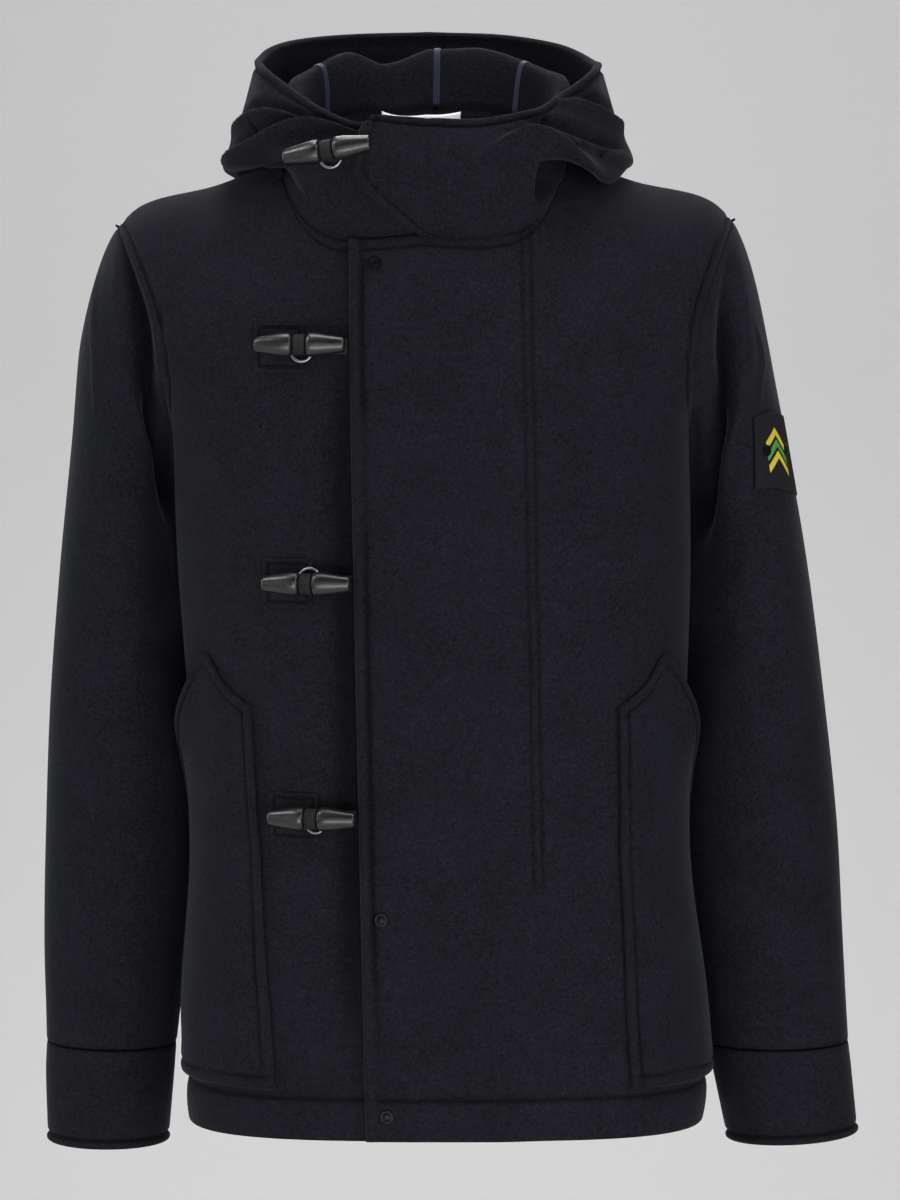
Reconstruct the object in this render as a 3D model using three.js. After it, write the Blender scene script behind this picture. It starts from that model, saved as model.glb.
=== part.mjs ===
// A hooded toggle parka in thick felted wool, filled out with no wearer, hood down.
// Millimetres, +Z up, the front faces -Y, the wearer's left is +X.
// The origin is the middle of the neck opening, at the level of the neck seam at the sides.
import * as THREE from 'three';

// ---- driving sizes ----
const CLOTH = 3.0;            // thickness of the felted wool
const SEAM_GAP = 0.3;         // room between two pieces that meet
const LAP = CLOTH + 0.6;      // how far an upper layer's face stands out from the one under it
const HEM_LEVEL = -690;
const ARMPIT_LEVEL = -193;
const YOKE_POWER = 2.3;       // roundness of the shoulders, front to back
const RIDGE_BACK = 20;        // how far behind the origin the shoulder seams run
const NECK = {
  centreX: -2, centreY: RIDGE_BACK, half: 103, front: 127.5, back: 52, frontPower: 3.9, backPower: 2,
};
const NECK_FRONT_RISE = 0.58; // rise of the neck seam in front
const FLY_EDGE = { top: -54, bottom: -41, topLevel: -60 };   // x of the upper front's free edge
const UNDERLAP_X = 20;        // x of the under front's hidden edge
const LAP_FADE = { from: 50, to: 92 };  // x over which the upper front comes back to the body's surface
const SLEEVE_END = 0.885;     // share of the arm's rows where the cuff is sewn on

const COLOURS = {
  wool: 0x23242b, hood: 0x26272f, cuff: 0x25262d,
  tape: 0x2b2e4a, label: 0xd9d9d6, horn: 0x29292b, webbing: 0x1c1c20,
  metal: 0x8f8f90, cap: 0x17171a, badge: 0x18181b,
};

// Level sections of the body below the armpits.
const BODY_ROWS = [
  { level: -690, centre: 15.0, half: 187.0, front: 137, back: 141, power: 3.2 },
  { level: -650, centre: 16.0, half: 188.8, front: 137, back: 140, power: 3.0 },
  { level: -600, centre: 13.8, half: 188.0, front: 136, back: 137, power: 2.7 },
  { level: -500, centre: 10.7, half: 178.5, front: 135, back: 132, power: 2.5 },
  { level: -400, centre: 9.0, half: 181.0, front: 134, back: 131, power: 2.5 },
  { level: -287, centre: 6.5, half: 186.5, front: 133, back: 137, power: 2.55 },
  { level: -193, centre: 4.0, half: 187.0, front: 130, back: 143, power: 2.95 },
];

// The shoulders above the armpits: rise runs from 0 at the armpits to 1 on the shoulder seam.
const YOKE_ROWS = [
  { rise: 0.00, half: 187, armhole: 187.0, centre: 4.0, power: 2.95 },
  { rise: 0.05, half: 189, armhole: 187.0, centre: 3.7, power: 3.00 },
  { rise: 0.15, half: 200, armhole: 188.0, centre: 3.0, power: 2.95 },
  { rise: 0.30, half: 214, armhole: 191.0, centre: 2.0, power: 2.80 },
  { rise: 0.49, half: 226, armhole: 197.0, centre: 1.2, power: 2.60 },
  { rise: 0.72, half: 232, armhole: 210.0, centre: 0.6, power: 2.50 },
  { rise: 0.88, half: 230, armhole: 219.5, centre: 0.2, power: 2.50 },
  { rise: 1.00, half: 226, armhole: 226.0, centre: 0.0, power: 2.50 },
];

// The shoulder seam's height, out from the middle, and how much higher the left shoulder is.
const RIDGE_ROWS = [
  { out: 0, top: 36 },
  { out: 52, top: 27 },
  { out: 80, top: 17 },
  { out: 100, top: 9.5 },
  { out: 150, top: -11.5 },
  { out: 195, top: -21.5 },
  { out: 211, top: -28.5 },
  { out: 226, top: -42 },
];
const RIDGE_TILT = 0.01;

// Sections of each arm from the armhole to the cuff's edge: where the section's outer and inner
// ends are, and its middle and half-width front to back.
const RIGHT_ARM_ROWS = [
  { along: 0.00, outerX: 226, outerZ: -44.3, innerX: 184, innerZ: -193, middle: 8, depth: 77 },
  { along: 0.05, outerX: 235, outerZ: -57, innerX: 184, innerZ: -199, middle: 9, depth: 79 },
  { along: 0.11, outerX: 244.5, outerZ: -84, innerX: 183.9, innerZ: -208, middle: 12, depth: 80 },
  { along: 0.19, outerX: 252.5, outerZ: -132, innerX: 183.2, innerZ: -226, middle: 16, depth: 79 },
  { along: 0.28, outerX: 258.5, outerZ: -195, innerX: 182.3, innerZ: -254, middle: 22, depth: 77 },
  { along: 0.4, outerX: 268.2, outerZ: -287, innerX: 179.2, innerZ: -312, middle: 27, depth: 74 },
  { along: 0.53, outerX: 276.4, outerZ: -385, innerX: 173.2, innerZ: -395, middle: 31, depth: 70 },
  { along: 0.66, outerX: 280.4, outerZ: -480, innerX: 168, innerZ: -484, middle: 32, depth: 65 },
  { along: 0.78, outerX: 281.6, outerZ: -565, innerX: 175, innerZ: -565, middle: 26, depth: 58 },
  { along: 0.885, outerX: 279, outerZ: -640, innerX: 183.5, innerZ: -642, middle: 14, depth: 51 },
  { along: 0.92, outerX: 279.3, outerZ: -662, innerX: 185, innerZ: -664, middle: 9, depth: 48 },
  { along: 1.00, outerX: 277.3, outerZ: -712, innerX: 189, innerZ: -713, middle: 3, depth: 47 },
];
const LEFT_ARM_ROWS = [
  { along: 0.00, outerX: 226, outerZ: -39.7, innerX: 191.8, innerZ: -193, middle: 8, depth: 77 },
  { along: 0.05, outerX: 233, outerZ: -52, innerX: 192.2, innerZ: -199, middle: 9, depth: 79 },
  { along: 0.11, outerX: 243, outerZ: -82, innerX: 192.6, innerZ: -208, middle: 12, depth: 80 },
  { along: 0.19, outerX: 251, outerZ: -132, innerX: 193.2, innerZ: -226, middle: 16, depth: 79 },
  { along: 0.28, outerX: 263.5, outerZ: -195, innerX: 193.8, innerZ: -254, middle: 22, depth: 77 },
  { along: 0.4, outerX: 280.2, outerZ: -287, innerX: 193, innerZ: -312, middle: 27, depth: 74 },
  { along: 0.53, outerX: 293.4, outerZ: -385, innerX: 190.8, innerZ: -395, middle: 31, depth: 70 },
  { along: 0.66, outerX: 303.8, outerZ: -480, innerX: 189, innerZ: -484, middle: 32, depth: 65 },
  { along: 0.78, outerX: 308, outerZ: -565, innerX: 196.5, innerZ: -565, middle: 26, depth: 58 },
  { along: 0.885, outerX: 311.4, outerZ: -640, innerX: 208, innerZ: -642, middle: 14, depth: 51 },
  { along: 0.92, outerX: 313.2, outerZ: -660, innerX: 212, innerZ: -664, middle: 9, depth: 48 },
  { along: 1.00, outerX: 317.5, outerZ: -706, innerX: 222, innerZ: -712, middle: 3, depth: 47 },
];

// Sections of the hood round the neck. The angle runs from the throat (0) to the centre back (180),
// and each section goes: neck seam, inner wall, crest of the inner roll, fall behind it, bottom of
// the bag, belly, outer wall, rim. Distances are out from the hood's middle.
const HOOD_MIDDLE = { x: 2, y: 5 };
const HOOD_ROWS = [
  { angle: 0, wallR: 117, wallZ: -47, crestR: 118, crestZ: -36, fallR: 118.5, fallZ: -24,
    pitR: 118, pitZ: -11, bellyR: 117, bellyZ: 0, outerR: 115, outerZ: 10, rimR: 112, rimZ: 21 },
  { angle: 20, wallR: 119.5, wallZ: -45, crestR: 121, crestZ: -33, fallR: 122, fallZ: -20,
    pitR: 121.5, pitZ: -7, bellyR: 119.5, bellyZ: 5, outerR: 116, outerZ: 15, rimR: 111, rimZ: 26 },
  { angle: 40, wallR: 125, wallZ: -34, crestR: 126, crestZ: -22, fallR: 128.5, fallZ: -11,
    pitR: 132, pitZ: -1, bellyR: 130, bellyZ: 11, outerR: 123, outerZ: 23, rimR: 114, rimZ: 37 },
  { angle: 52, wallR: 120, wallZ: -14, crestR: 122.5, crestZ: -7, fallR: 127, fallZ: -5,
    pitR: 133, pitZ: -3, bellyR: 137.5, bellyZ: 8, outerR: 128, outerZ: 27, rimR: 112.5, rimZ: 45 },
  { angle: 64, wallR: 110, wallZ: 4, crestR: 112, crestZ: 11, fallR: 118, fallZ: 4,
    pitR: 131, pitZ: -4, bellyR: 143, bellyZ: 6, outerR: 131, outerZ: 30, rimR: 114, rimZ: 54 },
  { angle: 77, wallR: 99, wallZ: 24, crestR: 101, crestZ: 39, fallR: 110, fallZ: 21,
    pitR: 132, pitZ: 0, bellyR: 147.5, bellyZ: 7, outerR: 133.5, outerZ: 32, rimR: 120, rimZ: 66 },
  { angle: 92, wallR: 96, wallZ: 38, crestR: 98.5, crestZ: 64, fallR: 108, fallZ: 33,
    pitR: 135, pitZ: 2, bellyR: 149.5, bellyZ: 7, outerR: 136.5, outerZ: 34, rimR: 124, rimZ: 75 },
  { angle: 115, wallR: 92, wallZ: 46, crestR: 95, crestZ: 77, fallR: 107, fallZ: 38,
    pitR: 138, pitZ: 1, bellyR: 160, bellyZ: 1, outerR: 149, outerZ: 40, rimR: 135, rimZ: 82 },
  { angle: 140, wallR: 84, wallZ: 54, crestR: 94, crestZ: 86, fallR: 110, fallZ: 41,
    pitR: 147, pitZ: -34, bellyR: 176, bellyZ: -22, outerR: 168, outerZ: 42, rimR: 151, rimZ: 99 },
  { angle: 160, wallR: 77, wallZ: 55, crestR: 88, crestZ: 88, fallR: 105, fallZ: 38,
    pitR: 145, pitZ: -60, bellyR: 179, bellyZ: -45, outerR: 173, outerZ: 36, rimR: 161, rimZ: 108.5 },
  { angle: 180, wallR: 74, wallZ: 56, crestR: 86, crestZ: 90, fallR: 103, fallZ: 38,
    pitR: 143, pitZ: -68, bellyR: 178, bellyZ: -54, outerR: 173, outerZ: 33, rimR: 163, rimZ: 111.5 },
];
// How the roll behind the neck, the rim and the bottom of the bag rise and dip round the neck,
// by the signed angle.
const ROLL_WAVES = [
  { angle: -180, lift: -2.5 }, { angle: -158, lift: -11.5 }, { angle: -141, lift: -2 },
  { angle: -122, lift: -6 }, { angle: -104, lift: -8 }, { angle: -90, lift: -7 },
  { angle: 0, lift: 0 }, { angle: 93, lift: -5 }, { angle: 115, lift: -7.5 },
  { angle: 134, lift: -6 }, { angle: 145, lift: -2.5 }, { angle: 156, lift: 0.5 },
  { angle: 168, lift: -1 }, { angle: 180, lift: -2.5 },
];
const RIM_WAVES = [
  { angle: -180, lift: 0 }, { angle: -160, lift: 0.5 }, { angle: -140, lift: 3.4 },
  { angle: -120, lift: 6.5 }, { angle: -105, lift: 3 }, { angle: -90, lift: 2 },
  { angle: -66, lift: 3 }, { angle: -52, lift: 1.4 }, { angle: -42, lift: -0.7 },
  { angle: -33, lift: -2.9 }, { angle: -25, lift: -2.9 }, { angle: -18, lift: 3.4 },
  { angle: -10, lift: 4.6 }, { angle: 1, lift: 5 }, { angle: 12, lift: 2 },
  { angle: 20, lift: 0 }, { angle: 27, lift: -1.4 }, { angle: 35, lift: -2.9 },
  { angle: 44, lift: -2.9 }, { angle: 55, lift: 0 }, { angle: 75, lift: 0 },
  { angle: 180, lift: 0 },
];
const SAG_WAVES = [
  { angle: -180, lift: 0 }, { angle: -130, lift: -2 }, { angle: -105, lift: -6 },
  { angle: -85, lift: -6 }, { angle: -60, lift: -3 }, { angle: -35, lift: 0 },
  { angle: 0, lift: 0 }, { angle: 60, lift: -3 }, { angle: 90, lift: -3 },
  { angle: 120, lift: 0 }, { angle: 180, lift: 0 },
];
// How much of the roll's and the bag's waves each point of a section takes up.
const ROLL_SHARE = { wall: 0.4, crest: 1, fall: 0.4, pit: 0, belly: 0, outer: 0, rim: 0 };
const SAG_SHARE = { wall: 0, crest: 0, fall: 0, pit: 1, belly: 1, outer: 0.3, rim: 0 };
const HOOD_POINTS = ['wall', 'crest', 'fall', 'pit', 'belly', 'outer', 'rim'];
const HOOD_SHARES = [0, 0.12, 0.25, 0.38, 0.55, 0.68, 0.84, 1];
// The hood's seams by their signed angles, and half the room between two pieces in degrees.
const HOOD_SEAMS = { right: -121, left: 130, throat: 14, back: 176, halfGap: 0.12 };

// ---- small tools ----
const halfTurn = Math.PI;
const clamp01 = (value) => Math.min(1, Math.max(0, value));
const smooth = (value) => clamp01(value) ** 2 * (3 - 2 * clamp01(value));
const blend = (from, to, share) => from + (to - from) * share;
const radians = (degrees) => degrees * Math.PI / 180;

// A smooth curve through one named column of a table, read at a place in its key column.
function along(rows, key, column, at) {
  const last = rows.length - 1;
  const place = Math.min(rows[last][key], Math.max(rows[0][key], at));
  let low = 0;
  while (low < last - 1 && rows[low + 1][key] < place) low += 1;
  const slope = (index) => {
    const before = Math.max(0, index - 1);
    const after = Math.min(last, index + 1);
    return (rows[after][column] - rows[before][column]) / (rows[after][key] - rows[before][key]);
  };
  const span = rows[low + 1][key] - rows[low][key];
  const share = (place - rows[low][key]) / span;
  const squared = share * share;
  const cubed = squared * share;
  return rows[low][column] * (2 * cubed - 3 * squared + 1)
    + rows[low + 1][column] * (3 * squared - 2 * cubed)
    + span * slope(low) * (cubed - 2 * squared + share)
    + span * slope(low + 1) * (cubed - squared);
}

// Even steps from one value to another.
function steps(from, to, count) {
  return Array.from({ length: count + 1 }, (_, index) => blend(from, to, index / count));
}

// The direction square to a grid of points, at each of its points.
function gridNormals(grid, closed) {
  const rows = grid.length;
  const columns = grid[0].length;
  return grid.map((row, i) => row.map((point, j) => {
    const up = grid[Math.min(rows - 1, i + 1)][j].clone().sub(grid[Math.max(0, i - 1)][j]);
    const after = closed ? row[(j + 1) % columns] : row[Math.min(columns - 1, j + 1)];
    const before = closed ? row[(j + columns - 1) % columns] : row[Math.max(0, j - 1)];
    return up.cross(after.clone().sub(before)).normalize();
  }));
}

// A grid moved along its own normals, a positive distance going outwards.
function movedOut(grid, distance, closed = false) {
  const normals = gridNormals(grid, closed);
  return grid.map((row, i) => row.map((point, j) => (
    point.clone().addScaledVector(normals[i][j], distance))));
}

// A closed cloth wall between an outer grid and an inner one. A closed grid is a tube.
function wallGeometry(outer, inner, closed) {
  const rows = outer.length;
  const columns = outer[0].length;
  const positions = [];
  [...outer, ...inner].forEach((row) => row.forEach((p) => positions.push(p.x, p.y, p.z)));
  const faces = [];
  const at = (side, i, j) => side * rows * columns + i * columns + (j % columns);
  const quad = (a, b, c, d) => faces.push(a, b, c, a, c, d);
  const lastColumn = closed ? columns : columns - 1;
  for (let i = 0; i < rows - 1; i += 1) {
    for (let j = 0; j < lastColumn; j += 1) {
      quad(at(0, i, j), at(0, i, j + 1), at(0, i + 1, j + 1), at(0, i + 1, j));
      quad(at(1, i, j), at(1, i + 1, j), at(1, i + 1, j + 1), at(1, i, j + 1));
    }
  }
  for (let j = 0; j < lastColumn; j += 1) {
    quad(at(0, 0, j), at(1, 0, j), at(1, 0, j + 1), at(0, 0, j + 1));
    quad(at(0, rows - 1, j), at(0, rows - 1, j + 1), at(1, rows - 1, j + 1), at(1, rows - 1, j));
  }
  if (!closed) {
    for (let i = 0; i < rows - 1; i += 1) {
      quad(at(0, i, 0), at(0, i + 1, 0), at(1, i + 1, 0), at(1, i, 0));
      const end = columns - 1;
      quad(at(0, i, end), at(1, i, end), at(1, i + 1, end), at(0, i + 1, end));
    }
  }
  return solidGeometry(positions, faces);
}

// A geometry from positions and faces, turned right side out.
function solidGeometry(positions, faces) {
  let volume = 0;
  const corner = (index) => new THREE.Vector3(...positions.slice(3 * index, 3 * index + 3));
  for (let f = 0; f < faces.length; f += 3) {
    volume += corner(faces[f]).dot(corner(faces[f + 1]).cross(corner(faces[f + 2])));
  }
  const ordered = [];
  for (let f = 0; f < faces.length; f += 3) {
    const swap = volume < 0 ? 1 : 0;
    ordered.push(faces[f], faces[f + 1 + swap], faces[f + 2 - swap]);
  }
  const geometry = new THREE.BufferGeometry();
  geometry.setAttribute('position', new THREE.Float32BufferAttribute(positions, 3));
  geometry.setIndex(ordered);
  geometry.computeVertexNormals();
  return geometry;
}

// A cloth piece from the grid of its outer face.
function clothWall(grid, closed = false, thickness = CLOTH) {
  return wallGeometry(grid, movedOut(grid, -thickness, closed), closed);
}

function finish(colour, roughness = 0.95, metalness = 0) {
  return new THREE.MeshStandardMaterial({ color: colour, roughness, metalness });
}

function addPiece(group, name, geometry, material) {
  const piece = new THREE.Mesh(geometry, material);
  piece.name = name;
  group.add(piece);
  return piece;
}

// ---- the body ----
// A signed power, for the squared-off ovals of the sections.
const bend = (value, power) => Math.sign(value) * Math.abs(value) ** power;
const yokeRow = (column, rise) => along(YOKE_ROWS, 'rise', column, rise);
const bodyRow = (column, level) => along(BODY_ROWS, 'level', column, level);
const ridgeTop = (x) => along(RIDGE_ROWS, 'out', 'top', Math.abs(x)) + RIDGE_TILT * x;
const FRONT_AT_ARMPIT = BODY_ROWS[BODY_ROWS.length - 1].front;
const BACK_AT_ARMPIT = BODY_ROWS[BODY_ROWS.length - 1].back;

// The squareness of the body's section at a height.
function sectionPower(height) {
  return height <= 0 ? bodyRow('power', ARMPIT_LEVEL + height) : yokeRow('power', height);
}

// A point of the body's outer surface. The turn runs from the wearer's left side (0) over the
// front (half pi) to the right side (pi) and on round the back. Height is a level below the
// armpits, and above them 1 stands for the whole rise to the shoulder seam.
function bodyPoint(turn, height) {
  const across = bend(Math.cos(turn), 2 / sectionPower(height));
  const deep = bend(Math.sin(turn), 2 / sectionPower(height));
  if (height <= 0) {
    const level = ARMPIT_LEVEL + height;
    const depth = deep > 0 ? bodyRow('front', level) : bodyRow('back', level);
    const x = bodyRow('centre', level) + bodyRow('half', level) * across;
    return new THREE.Vector3(x, -depth * deep, level);
  }
  const share = (1 - Math.min(1, height) ** YOKE_POWER) ** (1 / YOKE_POWER);
  const x = yokeRow('centre', height) + yokeRow('half', height) * across;
  const depth = deep > 0 ? FRONT_AT_ARMPIT : BACK_AT_ARMPIT;
  const y = RIDGE_BACK * (1 - share) - depth * deep * share;
  return new THREE.Vector3(x, y, blend(ARMPIT_LEVEL, ridgeTop(x), height));
}

// The turn at which the body's surface reaches a given x, on the front half.
function turnAt(x, height) {
  const level = ARMPIT_LEVEL + height;
  const centre = height <= 0 ? bodyRow('centre', level) : yokeRow('centre', height);
  const half = height <= 0 ? bodyRow('half', level) : yokeRow('half', height);
  const across = Math.min(1, Math.max(-1, (x - centre) / half));
  return Math.acos(bend(across, sectionPower(height) / 2));
}

// How far round from the side the armhole's edge is.
function armholeTurn(rise) {
  if (rise <= 0) return 0;
  const share = Math.min(1, yokeRow('armhole', rise) / yokeRow('half', rise));
  return Math.acos(share ** (sectionPower(rise) / 2));
}

// Above 1 outside the neck opening, below 1 inside it, seen from above.
function neckMeasure(point) {
  const ahead = point.y < NECK.centreY;
  const power = ahead ? NECK.frontPower : NECK.backPower;
  return Math.abs((point.x - NECK.centreX) / NECK.half) ** power
    + Math.abs((point.y - NECK.centreY) / (ahead ? NECK.front : NECK.back)) ** power;
}

// The rise of the body's surface over a spot seen from above, ahead of the shoulder seam or behind it.
function riseAt(x, y, ahead) {
  let low = 0;
  let high = 1;
  for (let turn = 0; turn < 40; turn += 1) {
    const middle = (low + high) / 2;
    const spot = bodyPoint(turnAt(x, middle) * (ahead ? 1 : -1), middle);
    const short = ahead ? spot.y < y : spot.y > y;
    if (short) low = middle;
    else high = middle;
  }
  return low;
}

// Places along a panel's top edge, first in along the shoulder seam and then round the neck seam.
// Each has the share of the way across the panel and the rise of the cloth there.
function panelTops(firstEdge, lastEdge, shoulderCount, neckCount, ahead, side) {
  const shareOf = (turn, rise) => (turn - firstEdge(rise)) / (lastEdge(rise) - firstEdge(rise));
  const turnOf = (x, rise) => (ahead ? turnAt(x, rise) : 2 * halfTurn - turnAt(x, rise));
  const cornerX = NECK.centreX + side * NECK.half;
  const shoulder = steps(side * yokeRow('half', 1), cornerX, shoulderCount)
    .map((x) => ({ share: shareOf(turnOf(x, 1), 1), rise: 1 }));
  const endAngle = ahead ? neckAngleAtEdge(lastEdge, side) : halfTurn / 2;
  const neck = steps(0, endAngle, neckCount).slice(1).map((angle) => {
    const { x, y } = neckEdge(angle, side);
    const rise = riseAt(x, y, ahead);
    return { share: clamp01(shareOf(turnOf(x, rise), rise)), rise };
  });
  return [...shoulder, ...neck];
}

// A point of the neck opening's edge, at an angle measured from the side towards the back.
function neckEdge(angle, side) {
  const ahead = Math.sin(angle) < 0;
  const power = ahead ? NECK.frontPower : NECK.backPower;
  const deep = ahead ? NECK.front : NECK.back;
  const reach = ((Math.abs(Math.cos(angle)) / NECK.half) ** power
    + (Math.abs(Math.sin(angle)) / deep) ** power) ** (-1 / power);
  return { x: NECK.centreX + side * reach * Math.cos(angle), y: NECK.centreY + reach * Math.sin(angle) };
}

// The angle at which the neck seam meets a front's free edge.
function neckAngleAtEdge(lastEdge, side) {
  const edgeX = bodyPoint(lastEdge(NECK_FRONT_RISE), NECK_FRONT_RISE).x;
  let low = -halfTurn;
  let high = -0.6;
  for (let turn = 0; turn < 40; turn += 1) {
    const middle = (low + high) / 2;
    if (side * (neckEdge(middle, side).x - edgeX) > 0) high = middle;
    else low = middle;
  }
  return low;
}

// The heights of the rows in a column: levels up to the armpit, then shares of the rise to its top.
const LEVELS = [-690, -655, -610, -560, -505, -450, -400, -350, -295, -240, -193];
const RISE_SHARES = [0.05, 0.15, 0.3, 0.47, 0.64, 0.79, 0.9, 0.97, 1];
const columnHeights = (top) => [
  ...LEVELS.map((level) => level - ARMPIT_LEVEL),
  ...RISE_SHARES.map((share) => share * top),
];

// A panel of the body between two edges, given as the turn of each edge at a height. Its columns
// stand evenly at the hem and lean over the yoke to their places along the top edge.
function panelGrid(firstEdge, lastEdge, tops, shift) {
  const columns = tops.map((top, index) => {
    const even = index / (tops.length - 1);
    return columnHeights(top.rise).map((height) => {
      const lean = clamp01(height / top.rise) ** 1.3;
      const turn = blend(firstEdge(height), lastEdge(height), blend(even, top.share, lean));
      const point = bodyPoint(turn, height);
      point.y += shift;
      return point;
    });
  });
  return columns[0].map((_, i) => columns.map((column) => column[i]));
}

// How far the upper front stands out over the under front.
function lapLift(x) {
  return LAP * (1 - smooth((x - LAP_FADE.from) / (LAP_FADE.to - LAP_FADE.from)));
}

function flyEdgeX(height) {
  const level = height <= 0 ? ARMPIT_LEVEL + height : blend(ARMPIT_LEVEL, FLY_EDGE.topLevel, height);
  return blend(FLY_EDGE.bottom, FLY_EDGE.top, (level - HEM_LEVEL) / (FLY_EDGE.topLevel - HEM_LEVEL));
}

// A panel of the body. Its edges on the side and shoulder seams are cut square to the seam.
function bodyPanel(grid) {
  const inner = movedOut(grid, -CLOTH);
  const onSeam = (y) => Math.abs(y) < SEAM_GAP || Math.abs(y - RIDGE_BACK) < SEAM_GAP;
  grid.forEach((row, i) => row.forEach((point, j) => {
    if (onSeam(point.y)) inner[i][j].y = point.y;
  }));
  return wallGeometry(grid, inner, false);
}

const leftArmhole = (height) => armholeTurn(height);
const rightArmhole = (height) => halfTurn - armholeTurn(height);
const flyEdge = (height) => turnAt(flyEdgeX(height), height);
const underlapEdge = (height) => turnAt(UNDERLAP_X, height);

// The upper front, from the left side seam to its free edge, standing out where it laps over.
function upperFrontGrid() {
  const tops = panelTops(leftArmhole, flyEdge, 4, 9, true, 1);
  const grid = panelGrid(leftArmhole, flyEdge, tops, -SEAM_GAP / 2);
  const normals = gridNormals(grid, false);
  return grid.map((row, i) => row.map((point, j) => (
    point.clone().addScaledVector(normals[i][j], lapLift(point.x)))));
}

// The under front, from its hidden edge to the right side seam.
function underFrontGrid() {
  const tops = panelTops(rightArmhole, underlapEdge, 4, 7, true, -1);
  return panelGrid(rightArmhole, underlapEdge, tops, -SEAM_GAP / 2).map((row) => row.slice().reverse());
}

// The back, from the right side seam round to the left one.
function backGrid() {
  const middle = () => 1.5 * halfTurn;
  const rightEdge = (height) => halfTurn + armholeTurn(height);
  const leftEdge = (height) => 2 * halfTurn - armholeTurn(height);
  const right = panelGrid(rightEdge, middle, panelTops(rightEdge, middle, 4, 4, false, -1), SEAM_GAP / 2);
  const left = panelGrid(leftEdge, middle, panelTops(leftEdge, middle, 4, 4, false, 1), SEAM_GAP / 2);
  return right.map((row, i) => [...row, ...left[i].slice(0, -1).reverse()]);
}

// ---- places on the front ----
// A place on the body's front at a given x and z, with its outward direction.
function frontPlace(x, z, lift) {
  const spot = (atX, atZ) => {
    const height = atZ <= ARMPIT_LEVEL
      ? atZ - ARMPIT_LEVEL
      : (atZ - ARMPIT_LEVEL) / (ridgeTop(atX) - ARMPIT_LEVEL);
    return bodyPoint(turnAt(atX, height), height);
  };
  const reach = 2;
  const across = spot(x + reach, z).sub(spot(x - reach, z)).normalize();
  const up = spot(x, z + reach).sub(spot(x, z - reach)).normalize();
  const normal = across.clone().cross(up).normalize();
  return { point: spot(x, z).addScaledVector(normal, lift), normal, across };
}

// A rectangular piece lying on the front.
function frontRectangle(left, right, bottom, top, lift, thickness) {
  const grid = steps(bottom, top, 2).map((z) => (
    steps(right, left, 2).map((x) => frontPlace(x, z, lift + thickness).point)));
  return clothWall(grid, false, thickness);
}

// ---- the arms ----
// Turns round an arm that line up with the rows of the body's armhole, from the shoulder point.
const ARM_RISES = [0, ...RISE_SHARES];
const ARM_TURNS = [
  ...ARM_RISES.slice().reverse().map((rise) => Math.acos(2 * rise - 1)),
  ...ARM_RISES.slice(1, -1).map((rise) => 2 * halfTurn - Math.acos(2 * rise - 1)),
];
const ARM_LEVELS = [
  0, 0.035, 0.08, 0.14, 0.21, 0.28, 0.35, 0.42, 0.49, 0.56, 0.63, 0.7, 0.77, 0.83, SLEEVE_END,
];
const CUFF_LEVELS = [SLEEVE_END + 0.0045, 0.925, 0.96, 1];

// The largest folds of the sleeves: where they are, how wide, how deep and how they slant.
const ARM_FOLDS = [
  { at: 0.30, turn: 120, width: 0.030, depth: 3.5, slant: 0.05 },
  { at: 0.41, turn: 70, width: 0.035, depth: 3.0, slant: -0.06 },
  { at: 0.50, turn: 130, width: 0.030, depth: 4.0, slant: 0.05 },
  { at: 0.60, turn: 250, width: 0.040, depth: 4.0, slant: 0.04 },
  { at: 0.72, turn: 80, width: 0.035, depth: 3.5, slant: -0.05 },
  { at: 0.81, turn: 110, width: 0.025, depth: 3.0, slant: 0.03 },
];

function armFold(share, turn) {
  return ARM_FOLDS.reduce((sum, fold) => {
    const away = Math.cos(turn - radians(fold.turn));
    const row = (share - fold.at - fold.slant * Math.sin(turn - radians(fold.turn))) / fold.width;
    return sum - fold.depth * Math.max(0, away) ** 2 * Math.exp(-row * row);
  }, 0);
}

// A point of an arm's outer surface. Side is 1 for the wearer's left arm and -1 for the right one.
// The turn runs from the shoulder point over the front to the underarm and round the back.
function armPoint(side, share, turn) {
  const rows = side > 0 ? LEFT_ARM_ROWS : RIGHT_ARM_ROWS;
  const value = (column) => along(rows, 'along', column, share);
  const outward = (1 + Math.cos(turn)) / 2;
  const x = blend(value('innerX'), value('outerX'), outward);
  const z = blend(value('innerZ'), value('outerZ'), outward);
  const point = new THREE.Vector3(side * x, value('middle') - value('depth') * Math.sin(turn), z);
  const centre = new THREE.Vector3(side * (value('innerX') + value('outerX')) / 2, value('middle'), z);
  const away = point.clone().sub(centre).setZ(0).normalize();
  return point.addScaledVector(away, armFold(share, turn));
}

// The armhole's edge on the body at the same turns.
function armholePoint(side, turn) {
  const rise = (1 + Math.cos(turn)) / 2;
  const front = Math.sin(turn) >= 0;
  const away = armholeTurn(rise);
  const bodyTurn = side > 0 ? (front ? away : -away) : halfTurn - (front ? away : -away);
  return bodyPoint(bodyTurn, rise);
}

const ARMHOLE_BLEND = 0.2;
const ARMHOLE_GAP = 1.4;

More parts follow.
